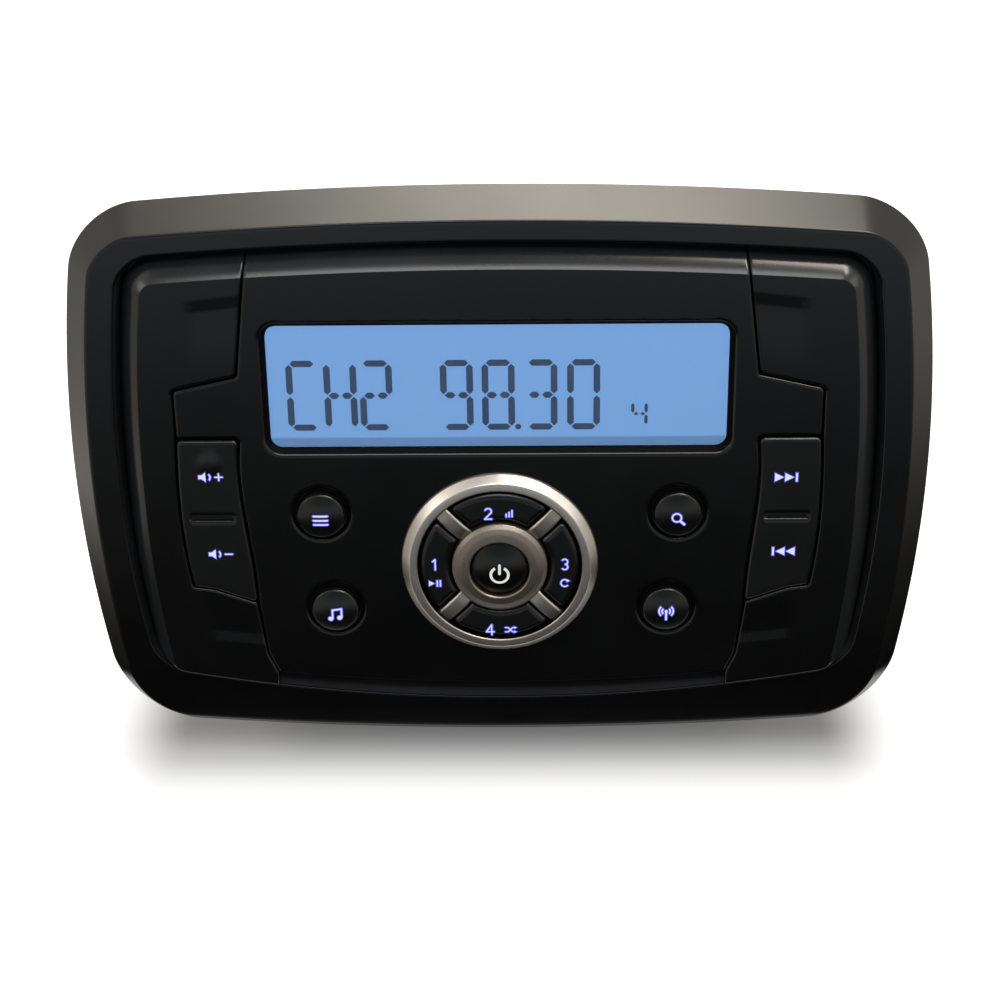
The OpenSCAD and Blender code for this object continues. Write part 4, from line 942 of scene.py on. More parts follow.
def fascia_outline(b, f, island):
    """The fascia's outline: a curved bottom, seams with recesses and ears, and the island's top."""
    top = seam_z(island, f.seam_top_x, True)
    seam = (upper_seam_x(f, b, top), top)
    up = np.linspace(f.rocker_low_in + 1, f.rocker_top - 1, 12)
    g = f.rocker_gap
    low = [(f.seam_low_x, f.seam_low_z, f.tip_r), (f.bend_x, f.bend_z, f.bend_r),
           (f.rocker_in_low_x - g, f.rocker_low_in - g, f.pocket_r)]
    ear = [(f.rocker_in_x - g, f.rocker_top + g, f.pocket_top_r), (f.ear_x, f.rocker_top + g, f.tip_r),
           (f.ear_x, f.ear_z, f.ear_r), (f.seam_mid_x, f.seam_mid_z, f.seam_mid_r), (*seam, 0)]
    right = np.concatenate([low, rocker_side(f, up, False) - (g, 0, 0), ear])
    left = right[::-1] * (-1, 1, 1)
    crown = island[(island[:, 1] > 0) & (np.abs(island[:, 0]) < seam[0] - CLEAR)]
    x = np.linspace(-f.seam_low_x, f.seam_low_x, 41)[1:-1]
    bottom = np.column_stack([x, bottom_edge(f, x)])
    return rounded(np.concatenate([sharp(bottom), right, sharp(crown), left]))


def cover_outline(b, f, island):
    """The right side cover's outline: the seams, the rocker's recess and the rest of the island."""
    top = seam_z(island, f.seam_top_x, True)
    g, r = f.seam_gap, f.rocker_gap
    seam_x = upper_seam_x(f, b, top) + g
    down = np.linspace(f.rocker_top - 1, f.rocker_low_out + 1, 12)
    low_x = f.seam_low_x + g
    low_z = seam_z(island, low_x, False)
    upper = [(seam_x, top, 0), (f.seam_mid_x + g, f.seam_mid_z + g, f.seam_mid_r + g),
             (f.ear_x + g, f.ear_z + g, f.ear_r + g)]
    lower = [(f.rocker_out_low_x + r, f.rocker_low_out - r, f.pocket_r),
             (f.rocker_out_low_x - f.foot_x, f.rocker_low_out - f.foot_z - r, f.foot_r),
             (f.rocker_in_low_x + g / 2, f.rocker_low_in - r, f.pocket_in_r),
             (f.bend_x + g, f.bend_z, f.bend_r), (low_x, f.seam_low_z, f.cover_tip_r), (low_x, low_z, 0)]
    half = island[:np.argmin(np.where(island[:, 1] > 0, np.abs(island[:, 0]), np.inf))]
    outer = half[half[:, 0] > np.where(half[:, 1] > 0, seam_x, low_x) + CLEAR]
    return rounded(np.concatenate([upper, rocker_side(f, down, True) + (r, 0, 0), lower, sharp(outer)]))


def shoulder_drop(d, f):
    """How far the shoulder has fallen at a distance in from the island's edge.

    It is an arc of its own radius through the edge and through the crease where it meets the flat front.
    """
    half = math.hypot(f.shoulder, f.shoulder_fall) / 2
    lean = math.atan2(f.shoulder_fall, f.shoulder) - math.asin(half / f.shoulder_r)
    sine = math.sin(lean) + (f.shoulder - np.clip(d, 0, f.shoulder)) / f.shoulder_r
    return f.shoulder_r * (math.cos(lean) - np.sqrt(1 - sine ** 2))


def shell(b, f, island, outline, holes, guides, dots, carve, marked):
    """A hollow shell over part of the island.

    Its front is the island's height, less what carve takes away. The shoulder falls along the top and the
    sides, and the front stays flat down to the bottom, because the island's lower edge is moved out of reach.
    The edges along the seams are quarter circles, and the walls run down to the flange, drawn in along the
    ledge at the bottom. Faces that marked picks out get the second material, and the shoulder the third: a
    lighter copy of the black that paints light onto the shoulder.
    """
    soft = [inset(outline, d) for d in (*round_steps(f.edge, 3)[1:], f.edge + CLEAR)]
    walls = [inset(outline, d) for d in (f.wall - CLEAR, f.wall)]
    island = island + np.where(island[:, 1:] < 0, (0, -f.shoulder - 0.8), (0, 0))
    slope = np.linspace(0.5, f.shoulder - 0.5, 8)
    crease = f.shoulder + np.array([-0.12, 0, 0.12, 0.6])
    shoulder = [inset(island, d) for d in (*slope, *crease)]
    flat, tris = fill([outline, *holes], [*shoulder, *soft, *walls, *guides], dots)
    from_edge = distance(flat, outline)
    from_island = distance(flat, island)
    seam_edge = np.where(from_island > from_edge + 0.02, round_drop(from_edge, f.edge), 0)
    front = f.face_h - shoulder_drop(from_island, f) - seam_edge - carve(flat)
    inner_h = f.face_h - f.wall - f.scoop_depth
    low = np.where(from_edge < f.wall - CLEAR / 2, b.flange + f.seat_gap, inner_h)
    ledge = recess_outline(b, b.flange, f.gap)[:, 1].min() + flat[:, 0] ** 2 / (2 * b.low_bow)
    foot = np.column_stack([flat[:, 0] * FOOT_DRAFT, np.maximum(flat[:, 1], ledge)])

    def kind(mids):
        """The number of the material at the middle of each face."""
        return np.where(marked(mids), 1, np.where(distance(mids, island) < f.shoulder, 2, 0))

    return Skin().block(flat, tris, front, low, foot, kind)


def display_outline(d, grow):
    """The display opening as a rounded rectangle, grown outwards."""
    x, z = d.width / 2 + grow, d.height / 2 + grow
    return round_box(x, z, -z, d.corner + grow, d.corner + grow, 8, 12) + (0, d.centre_z)


def key_places(k):
    """Centres of the four round keys by name."""
    return {"set_key": (-k.upper_x, k.upper_z), "mode_key": (-k.lower_x, k.lower_z),
            "scan_key": (k.upper_x, k.upper_z), "band_key": (k.lower_x, k.lower_z)}


def fascia_skin(b, f, k, d):
    """The fascia: a shell with the chamfered display opening, dished key holes and the trim ring's hole."""
    island = island_outline(b, f)
    outline = spread(fascia_outline(b, f, island), 1.5)
    keys = list(key_places(k).values())
    opening = display_outline(d, 0)
    key_hole = k.key_r + k.key_gap
    holes = [opening, circle((0, k.pad_z), k.ring_in_r + k.skirt_t + k.key_gap, 96)]
    holes += [circle(place, key_hole, 64) for place in keys]
    soften = 0.25
    guides = [display_outline(d, d.chamfer + s)
              for s in (-soften, -soften / 3, soften / 3, soften, soften + 0.4, soften + 1)]
    slope = np.linspace(key_hole + CLEAR / 2, k.dish_r - CLEAR, 4)
    rim = k.dish_r + np.array([-0.1, 0.1, 0.3, 0.8])
    guides += [circle(place, r, 64) for place in keys for r in (*slope, *rim)]
    grid = dot_grid(np.arange(-63, 64, DOT_STEP), np.arange(-44, 52, DOT_STEP))

    def carve(flat):
        """The chamfer falls at 45 degrees, with a parabola at its edge; each dish eases down to its key."""
        run = distance(flat, opening) - d.chamfer
        drop = np.where(run < -soften, -run, np.where(run < soften, (soften - run) ** 2 / (4 * soften), 0))
        for place in keys:
            out = np.linalg.norm(flat - place, axis=1)
            drop = drop + k.dish_depth * ease((k.dish_r + CLEAR - out) / (k.dish_r + CLEAR / 2 - key_hole))
        return drop

    def dull(mids):
        """Picks out the walls of the display opening and the fascia's bottom edge for painted shade: a darker
        black with almost no gloss.
        """
        x, z = mids.T
        return (distance(mids, opening) < d.chamfer - soften) | (z < bottom_edge(f, x) + f.edge)

    return shell(b, f, island, outline, holes, guides, grid, carve, dull)


def cover_skin(b, f):
    """The right side cover: a shell with a shallow scoop that deepens towards the seam between two steps."""
    island = island_outline(b, f)
    outline = spread(cover_outline(b, f, island), 1.5)
    across = np.arange(46.5, f.scoop_out_x + 2, 0.75)

    def lean(x):
        """How far each step has leaned in at a half width: evenly from the seam to the scoop's end."""
        return f.scoop_lean * (x - f.seam_mid_x) / (f.scoop_out_x - f.seam_mid_x)

    bands = []
    for middle in (f.scoop_top - lean(across), f.scoop_low + lean(across)):
        for run in np.array([0.15, 0.4, 0.5, 0.65]) * f.scoop_run:
            below, above = (np.column_stack([across, middle + side]) for side in (-run, run))
            bands.append(np.concatenate([below, above[::-1]]))
    ends = f.scoop_out_x - f.scoop_end * np.linspace(0, 3, 9)
    heights = np.linspace(f.scoop_low, f.scoop_top, 60)
    dots = np.column_stack([np.repeat(ends, len(heights)), np.tile(heights, len(ends))])

    def carve(flat):
        """Below the upper step and above the lower one the surface drops, then eases back up."""
        x, z = flat.T
        drop = 0
        for run in (f.scoop_top - lean(x) - z, z - f.scoop_low - lean(x)):
            drop = drop + np.clip(run / f.scoop_run + 0.5, 0, 1) * (1 - ease(run / f.scoop_fade))
        return f.scoop_depth * ease((f.scoop_out_x - x) / f.scoop_end) * drop

    def dull(mids):
        """Picks out nothing."""
        return np.zeros(len(mids), bool)

    return shell(b, f, island, outline, [], bands, dots, carve, dull)


def rocker_middle(f):
    """Half width at the middle of a rocker's top edge."""
    return (f.rocker_in_x + f.ear_x) / 2


def mound(f, flat):
    """The mound near a rocker's upper end, 1 at its top: exp of minus the fourth power of the reach."""
    middle = np.array([rocker_middle(f), f.pivot_z + f.mound_z])
    return np.exp(-(((flat - middle) / f.mound_r) ** 2).sum(axis=1) ** 2)


def rocker_skin(f, bump):
    """The right rocker: a plate with rounded edges and a groove at its pivot; bump is the mound's rise."""
    outline = spread(rocker_outline(f), 1.2)
    middle = np.array([rocker_middle(f), f.pivot_z])
    rounds = [inset(outline, s) for s in (*round_steps(f.rocker_edge, 5)[1:], f.rocker_edge + CLEAR)]
    near = dot_grid(np.linspace(-1, 1, 25) * (f.groove_x / 2 + CLEAR),
                    np.linspace(-1, 1, 13) * (f.groove_z / 2 + CLEAR / 2))
    plate = dot_grid(np.linspace(-4.5, 4.5, 13), np.linspace(-15, 15, 37))
    plate = plate[np.abs(plate[:, 1]) > 1.2]
    flat, tris = fill([outline], rounds, np.concatenate([near, plate]) + middle)
    off = np.abs(flat - middle)
    groove = ease((f.groove_x / 2 + 0.2 - off[:, 0]) / 0.5) * ease((f.groove_z / 2 + 0.1 - off[:, 1]) / 0.3)
    top = f.face_h + f.rocker_proud
    edge = round_drop(distance(flat, outline), f.rocker_edge)
    front = top - edge - f.groove_t * groove + bump * mound(f, flat)
    return Skin().block(flat, tris, front, top - f.rocker_t)


class STEREO_OT_bezel(bpy.types.Operator):
    """Makes the bowed bezel with its sloped rim, flat ring and recess"""
    bl_idname = "stereo.bezel"
    bl_label = "Bezel"

    def execute(self, context):
        look = context.scene.stereo_finishes
        # The bezel's gloss fades towards its bottom: shade painted into the gloss.
        ring = moulded("bezel_plastic", look.bezel, rough=0.21, grain=BEZEL_GRAIN, depth=0.000005,
                       specular=0.4, dim_below=-0.02)
        rim = moulded("bezel_rim", look.bezel, rough=0.31, grain=BEZEL_GRAIN, depth=0.000005,
                      specular=0.36, dim_below=-0.022)
        # Painted light: the recess wall gets the bezel's black made six times lighter, so the groove does not
        # go dark.
        recess = moulded("bezel_recess", shade(look.bezel, 6), rough=0.45, grain=BEZEL_GRAIN, depth=0.00001,
                         specular=0.2)
        skin = bezel_skin(in_mm(context.scene.stereo_bezel))
        skin.piece("bezel_skin", [ring, rim, recess], "unit", ["bezel"], "bezel_plastic")
        return {"FINISHED"}


class STEREO_OT_face(bpy.types.Operator):
    """Makes the fascia, the two side covers and the two rockers"""
    bl_idname = "stereo.face"
    bl_label = "Fascia, covers and rockers"

    def execute(self, context):
        scene = context.scene
        b, f = in_mm(scene.stereo_bezel), in_mm(scene.stereo_face)
        k, d = in_mm(scene.stereo_keys), in_mm(scene.stereo_display)
        colour = scene.stereo_finishes.fascia
        plastic = moulded("fascia_plastic", colour, rough=0.21, specular=0.37)
        # Painted shade: a darker copy of the black with almost no gloss, for the display opening's walls and
        # the fascia's bottom edge.
        well = moulded("display_well", shade(colour, 0.5), rough=0.6, specular=0.05)
        # Painted light: the shoulder gets the fascia's black made seven times lighter.
        shoulder = moulded("shoulder_plastic", shade(colour, 7), rough=0.21, specular=0.37)
        black = [plastic, well, shoulder]
        fascia_skin(b, f, k, d).piece("fascia_skin", black, "unit", ["fascia"], "fascia_plastic")
        cover = cover_skin(b, f)
        cover.piece("right_cover_skin", black, "unit", ["right_side_cover"], "cover_plastic")
        cover.piece("left_cover_skin", black, "unit", ["left_side_cover"], "cover_plastic", mirror=True)
        key_plastic = moulded("key_satin", shade(colour, 1.1), rough=0.28, specular=0.4)
        rocker_skin(f, 0).piece(
            "seek_rocker_skin", key_plastic, "seek_rocker", ["seek_rocker"], "key_plastic")
        rocker_skin(f, f.mound).piece(
            "volume_rocker_skin", key_plastic, "volume_rocker", ["volume_rocker"], "key_plastic", mirror=True)
        return {"FINISHED"}


def dome_height(flat, centre, r, rim_h, top_h):
    """Height of a domed key: a parabola that falls from its middle to its rim."""
    return top_h - (top_h - rim_h) * ((flat - centre) ** 2).sum(axis=1) / r ** 2


def dome(r, rim_h, top_h, edge):
    """Profile of a domed key's top, from side to axis: an edge arc that runs into the dome's parabola."""
    fall = (top_h - rim_h) / r ** 2
    lean = math.atan(2 * fall * (r - edge / 2))
    join = r - edge + edge * math.sin(lean)
    a = np.linspace(0, math.pi / 2 - lean, 7)
    centre_h = top_h - fall * join ** 2 - edge * math.cos(lean)
    x = np.linspace(join, 0, 10)[1:]
    return np.concatenate([
        np.column_stack([r - edge + edge * np.cos(a), centre_h + edge * np.sin(a)]),
        np.column_stack([x, top_h - fall * x ** 2])])


def turned_key(k, centre, r, low, top_h, rise, steps):
    """A round key: a flange at its foot and a domed cap, turned about its centre."""
    step = low + k.key_flange
    foot = [(0, low), (r + k.key_lip, low), (r + k.key_lip, step), (r, step)]
    return revolve(Skin(), centre, np.concatenate([foot, dome(r, top_h - rise, top_h, k.key_edge)]), steps)


def round_key_skin(k, f, centre):
    """One of the four round keys, with its flange under the fascia."""
    return turned_key(k, centre, k.key_r, k.key_foot, f.face_h + k.key_proud, k.key_dome, 72)


def power_key_skin(k, f, centre):
    """The power key, with its flange under the hub."""
    low, top = f.face_h - k.power_foot, f.face_h + k.power_rise
    return turned_key(k, centre, k.hub_hole_r - k.key_gap, low, top, k.power_dome, 96)


def sector_outline(k, turn):
    """A preset key's outline: a ring sector between two spokes with rounded corners, turned to its place."""
    side = k.spoke_w / 2 + k.key_gap
    inner, outer = k.hub_r + k.key_gap, k.ring_in_r - k.key_gap
    half_out, half_in = (45 - math.degrees(math.asin(side / r)) for r in (outer, inner))
    long_side = arc((0, 0), outer, turn - half_out, turn + half_out, 12)
    path = np.concatenate([long_side, arc((0, 0), inner, turn + half_in, turn - half_in, 8)])
    radii = np.zeros(len(path))
    radii[[0, len(long_side) - 1]] = k.preset_out_r
    radii[[len(long_side), -1]] = k.preset_in_r
    return rounded(np.column_stack([path, radii])) + (0, k.pad_z)


def preset_skin(k, f, turn):
    """A preset key: a ring sector whose edges are quarter circles."""
    outline = spread(sector_outline(k, turn), 0.8)
    e = k.preset_edge
    rounds = [inset(outline, s) for s in (*round_steps(e, 8)[1:], e + 0.2, e + 0.8)]
    flat, tris = fill([outline], rounds)
    front = f.face_h + k.preset_rise - round_drop(distance(flat, outline), e)
    return Skin().block(flat, tris, front, f.face_h - k.preset_foot)


def trim_skin(k, f):
    """The outer trim ring, sloped outside and flat inside, and its four spokes.

    The ring is a turned profile: slope, flat and inner wall have a material each. The flat's darker silver
    and the inner wall's dull black are painted shade. A spoke is a section carried outwards, and its top
    falls towards both ends by the cube of its way from the middle.
    """
    base, top = f.face_h - k.skirt, f.face_h + k.ring_rise
    skirt_r = k.ring_in_r + k.skirt_t
    seat = f.face_h + f.seat_gap
    profile = rounded([
        (k.ring_in_r, base, 0), (skirt_r, base, 0), (skirt_r, seat, 0), (k.ring_r, seat, 0.1),
        (k.ring_r - 0.2, seat + 0.6, 0.5), (k.crest_r, top - 0.05, 0.6), (k.ring_in_r + 0.2, top, 0.15),
        (k.ring_in_r, top - 0.2, 0.1)])
    skin = Skin()
    flat = np.argmax((profile[:, 0] < k.crest_r - 0.3) & (profile[:, 1] > top - 0.15))
    for paint, part in enumerate((profile[:flat + 1], profile[flat:], profile[[-1, 0]])):
        revolve(skin, (0, k.pad_z), part, 128, paint)
    w, crown = k.spoke_w / 2, top - k.spoke_drop
    section = rounded([
        (-w, base, 0), (w, base, 0), (w, crown - k.bevel_z, 0.15), (w - k.bevel_x, crown, 0.4),
        (k.bevel_x - w, crown, 0.4), (-w, crown - k.bevel_z, 0.15)])
    reach = np.linspace(k.hub_r - k.spoke_root, k.ring_in_r + k.spoke_tip, 17)
    sag = k.spoke_sag * np.abs(np.linspace(-1, 1, 17)) ** 3
    heights = section[:, 1] - sag[:, None] * (section[:, 1] > base)
    ends = np.arange(len(section))[None]
    for turn in np.radians([45, 135, 225, 315]):
        out = np.array([np.cos(turn), np.sin(turn)])
        across = np.array([-np.sin(turn), np.cos(turn)])
        side = (0, k.pad_z) + section[:, :1] * across
        rings = [lift(out * r + side, h) for r, h in zip(reach, heights)]
        skin.strip(rings, 1).add(rings[0], ends, 1).add(rings[-1], ends, 1)
    return skin


def hub_skin(k, f):
    """The hub ring round the power key: a turned profile that rises to the key in a bow of two large arcs."""
    top = f.face_h + k.hub_rise
    profile = rounded([
        (k.hub_hole_r, f.face_h, 0), (k.hub_r, f.face_h, 0), (k.hub_r, top - 1.5, 0.5),
        (k.hub_r - 0.8, top - 0.8, 1.5), (k.hub_r - 2, top - 0.22, 2.5),
        (k.hub_hole_r + 0.25, top, 0.25), (k.hub_hole_r, top - 0.3, 0.15)])
    return revolve(Skin(), (0, k.pad_z), np.concatenate([profile, profile[:1]]), 112)


class STEREO_OT_keys(bpy.types.Operator):
    """Makes the round keys, the preset keys, the power key and the trim ring with its hub"""
    bl_idname = "stereo.keys"
    bl_label = "Keys and trim ring"

    def execute(self, context):
        scene = context.scene
        k, f = in_mm(scene.stereo_keys), in_mm(scene.stereo_face)
        look = scene.stereo_finishes
        plastic = bpy.data.materials["key_satin"]
        for name, place in key_places(k).items():
            round_key_skin(k, f, place).piece(name + "_skin", plastic, name, [name], "key_plastic")
        for preset, turn in PRESETS.items():
            name = f"preset_key_{preset}"
            preset_skin(k, f, turn).piece(name + "_skin", plastic, name, [name], "key_plastic")
        power_key = power_key_skin(k, f, (0, k.pad_z))
        power_key.piece("power_key_skin", plastic, "power_key", ["power_key"], "key_plastic")
        silver = satin_metal("trim_silver", look.silver, rough=0.3)
        hub = satin_metal("hub_silver", look.hub, rough=0.42)
        # Painted shade: the ring's inner wall gets a dull black in place of its silver.
        wall = moulded("trim_wall", look.fascia, rough=0.6, specular=0.05)
        # Painted shade: the ring's flat and the spokes get a darker copy of the silver.
        spokes = satin_metal("spoke_silver", look.spokes, rough=0.36)
        trim_skin(k, f).piece("trim_ring_skin", [silver, spokes, wall], "unit", ["trim_ring"], "trim_silver")
        hub_skin(k, f).piece("hub_ring_skin", hub, "unit", ["trim_ring"], "trim_silver")
        return {"FINISHED"}


def window_skin(d):
    """The clear window: a lip behind the fascia and a front that fills the opening."""
    back = d.window_h - d.window_t
    stack = [(d.window_lip, back), (d.window_lip, back + d.lip_t), (-d.window_gap, back + d.lip_t),
             (-d.window_gap, d.window_h - d.window_edge), (-d.window_gap - d.window_edge, d.window_h)]
    skin = Skin().strip([lift(display_outline(d, grow), h) for grow, h in stack])
    for grow, h in (stack[0], stack[-1]):
        skin.cap([display_outline(d, grow)], h)
    return skin


def glass_skin(d):
    """The liquid crystal glass, a plain slab behind the window."""
    outline = display_outline(d, d.glass_lip)
    skin = Skin().strip([lift(outline, h) for h in (d.glass_back, d.glass_h)])
    return skin.cap([outline], d.glass_back).cap([outline], d.glass_h)


def bar(start, end, width, short=0.22):
    """A readout segment: a bar with pointed ends, drawn short of both end points."""
    start, end = np.asarray(start, float), np.asarray(end, float)
    along = (end - start) / np.linalg.norm(end - start)
    side = np.array([-along[1], along[0]]) * width / 2
    tip, root = along * short, along * (short + width / 2)
    return np.array([start + tip, start + root - side, end - root - side,
                     end - tip, end - root + side, start + root + side])


def glyph(character, place, width, height, stroke):
    """One readout character as bars: seven places, of which the middle one is split in two."""
    spots = {"a": [(0, 1, 1, 1)], "d": [(0, 0, 1, 0)], "g": [(0, 0.5, 0.5, 0.5), (0.5, 0.5, 1, 0.5)],
             "f": [(0, 0.5, 0, 1)], "b": [(1, 0.5, 1, 1)], "e": [(0, 0, 0, 0.5)], "c": [(1, 0, 1, 0.5)]}
    ends = np.array([spot for name in GLYPHS[character] for spot in spots[name]]).reshape(-1, 2, 2)
    return [bar(start, end, stroke) for start, end in place + ends * (width, height)]


def readout(d):
    """The dark segments of the readout: a channel, a frequency and a small preset number."""
    low = d.centre_z - d.digit_z / 2 - d.digit_drop
    shapes = []
    for character, x in READOUT:
        shapes += glyph(character, (x, low), d.digit_x, d.digit_z, d.digit_stroke)
    shapes += glyph("4", (d.small_place, low + d.small_lift), d.small_x, d.small_z, d.small_stroke)
    return shapes + [circle((d.point_x, low), d.point_r, 20)]


class STEREO_OT_display(bpy.types.Operator):
    """Makes the clear window, the lit glass and the readout's segments"""
    bl_idname = "stereo.display"
    bl_label = "Display"

    def execute(self, context):
        d = in_mm(context.scene.stereo_display)
        look = context.scene.stereo_finishes
        window_skin(d).piece("display_window_skin", clear_window(), "unit", ["display_window"], "window")
        glass = lit_display(d, look)
        glass_skin(d).piece("display_glass_skin", glass, "unit", ["display_glass"], "lcd_glass")
        dark = lit("lcd_segment", look.segment)
        for count, outline in enumerate(readout(d)):
            flat, tris = fill([outline])
            skin = Skin().block(flat, tris, d.glass_h + d.segment_t, d.glass_h - d.segment_t)
            skin.piece(f"segment_{count:02d}", dark, "unit", slot="lcd_glass")
        return {"FINISHED"}


def capsule(start, end, width):
    """A straight stroke with round ends."""
    start, end = np.asarray(start, float), np.asarray(end, float)
    turn = math.degrees(math.atan2(end[1] - start[1], end[0] - start[0]))
    head = arc(end, width / 2, turn - 90, turn + 90, 6)
    return np.concatenate([head, arc(start, width / 2, turn + 90, turn + 270, 6)])


def stroke(path, width=PEN):
    """A pen stroke through points: one capsule per stretch."""
    return [capsule(p, q, width) for p, q in zip(path[:-1], path[1:])]


def pen_arc(centre, radius, start, end, width=PEN):
    """A pen stroke along an arc, in degrees, as one outline."""
    count = max(4, int(abs(end - start) / 15))
    outer = arc(centre, radius + width / 2, start, end, count)
    inner = arc(centre, radius - width / 2, end, start, count)
    return [np.concatenate([outer, inner])[::1 if end > start else -1]]


def moved(shapes, place, scale=1.0):
    """The same shapes, scaled and moved to a place."""
    return [shape * scale + place for shape in shapes]


def numerals():
    """The numerals 1 to 4, drawn by pen strokes about 2 mm tall."""
    return {
        1: stroke([(-0.35, 0.6), (0.1, 1), (0.1, -1)]),
        2: pen_arc((0, 0.45), 0.55, 165, -35) + stroke([(0.45, 0.13), (-0.6, -1), (0.62, -1)]),
        3: pen_arc((0, 0.48), 0.5, 150, -90) + pen_arc((0, -0.5), 0.52, 90, -150),
        4: stroke([(0.3, -1), (0.3, 1), (-0.65, -0.4), (0.7, -0.4)])}


def triangle(way):
    """A filled arrow head that points right for 1 and left for -1."""
    return [np.array([(-0.7, -0.75), (0.75, 0), (-0.7, 0.75)])[::way] * (way, 1)]


def upright_bar(x):
    """A filled upright bar."""
    return [np.array([(-0.17, -0.75), (0.17, -0.75), (0.17, 0.75), (-0.17, 0.75)]) + (x, 0)]


def play_pause():
    """A play arrow and two pause bars."""
    return moved(triangle(1), (-0.7, 0), 0.85) + upright_bar(0.45) + upright_bar(1.1)


def skip(way):
    """Two arrow heads and a bar, for the next or the previous track."""
    heads = moved(triangle(way), (-1.5 * way, 0)) + moved(triangle(way), (0.1 * way, 0))
    return heads + upright_bar(1.25 * way)


def repeat_loop():
    """A loop with an arrow head."""
    return pen_arc((0, 0), 0.8, 30, 320, 0.3) + moved(triangle(1), (0.72, 0.52), 0.5)


def shuffle_arrows():
    """Two crossing strokes with arrow heads."""
    lines = stroke([(-1.1, 0.5), (-0.5, 0.5), (0.4, -0.5), (0.8, -0.5)])
    lines += stroke([(-1.1, -0.5), (-0.5, -0.5), (0.4, 0.5), (0.8, 0.5)])
    return lines + moved(triangle(1), (1.05, 0.5), 0.4) + moved(triangle(1), (1.05, -0.5), 0.4)


def preview_bars():
    """Three rising bars, for the start of each track."""
    tops = ((-0.6, -0.1), (0, 0.3), (0.6, 0.75))
    return [capsule((x, -0.7), (x, top), 0.3) for x, top in tops]


def speaker(sign):
    """A loudspeaker with a plus or a minus sign."""
    cone = np.array([(-1.9, -0.35), (-1.35, -0.35), (-0.7, -0.9), (-0.7, 0.9), (-1.35, 0.35), (-1.9, 0.35)])
    lines = [cone] + pen_arc((-0.7, 0), 0.75, -45, 45, 0.28)
    lines += stroke([(0.85, 0), (2.05, 0)])
    return lines + (stroke([(1.45, -0.6), (1.45, 0.6)]) if sign > 0 else [])


def power_sign():
    """A broken ring with a stroke through the gap."""
    return pen_arc((0, -0.15), 1.35, 125, 415, 0.22) + stroke([(0, 0.1), (0, 1.5)], 0.22)


def menu_lines():
    """Three lines of a list."""
    return [capsule((-1.1, z), (1.1, z), 0.32) for z in (-0.75, 0, 0.75)]


def source_note():
    """Two joined notes."""
    heads = [circle((-0.75, -0.75), 0.42, 20), circle((0.7, -0.55), 0.42, 20)]
    return heads + stroke([(-0.42, -0.7), (-0.42, 0.85), (1.03, 1.05), (1.03, -0.5)], 0.3)


def search_glass():
    """A magnifying glass."""
    return pen_arc((-0.2, 0.25), 0.72, -40, 310) + stroke([(0.35, -0.3), (1.0, -0.95)], 0.4)


def aerial_waves():
    """A mast with waves on both sides."""
    signs = stroke([(0, 0.4), (0, -1.1)], 0.34) + [circle((0, 0.45), 0.26, 16)]
    for way in (0, 180):
        for r in (0.65, 1.15):
            signs += pen_arc((0, 0.45), r, way - 45, way + 45, 0.28)
    return signs


def legend(g, name, shapes, surface, body, glow, core):
    """A lit legend on a key: a glowing edge and a paler middle, both laid on the key's surface."""
    layers = ("edge", -g.glow, g.glow_rise, glow), ("core", g.core, g.core_rise, core)
    for part, run, rise, material in layers:
        drawn = [spread(inset(shape, run), CLEAR) for shape in shapes]
        flat, tris = fill(drawn, keep=lambda mids: np.any([inside(mids, [shape]) for shape in drawn], axis=0))
        height = surface(flat)
        skin = Skin().block(flat, tris, height + rise, height - g.depth)
        skin.piece(f"{name}_{part}", material, body, slot="key_plastic")


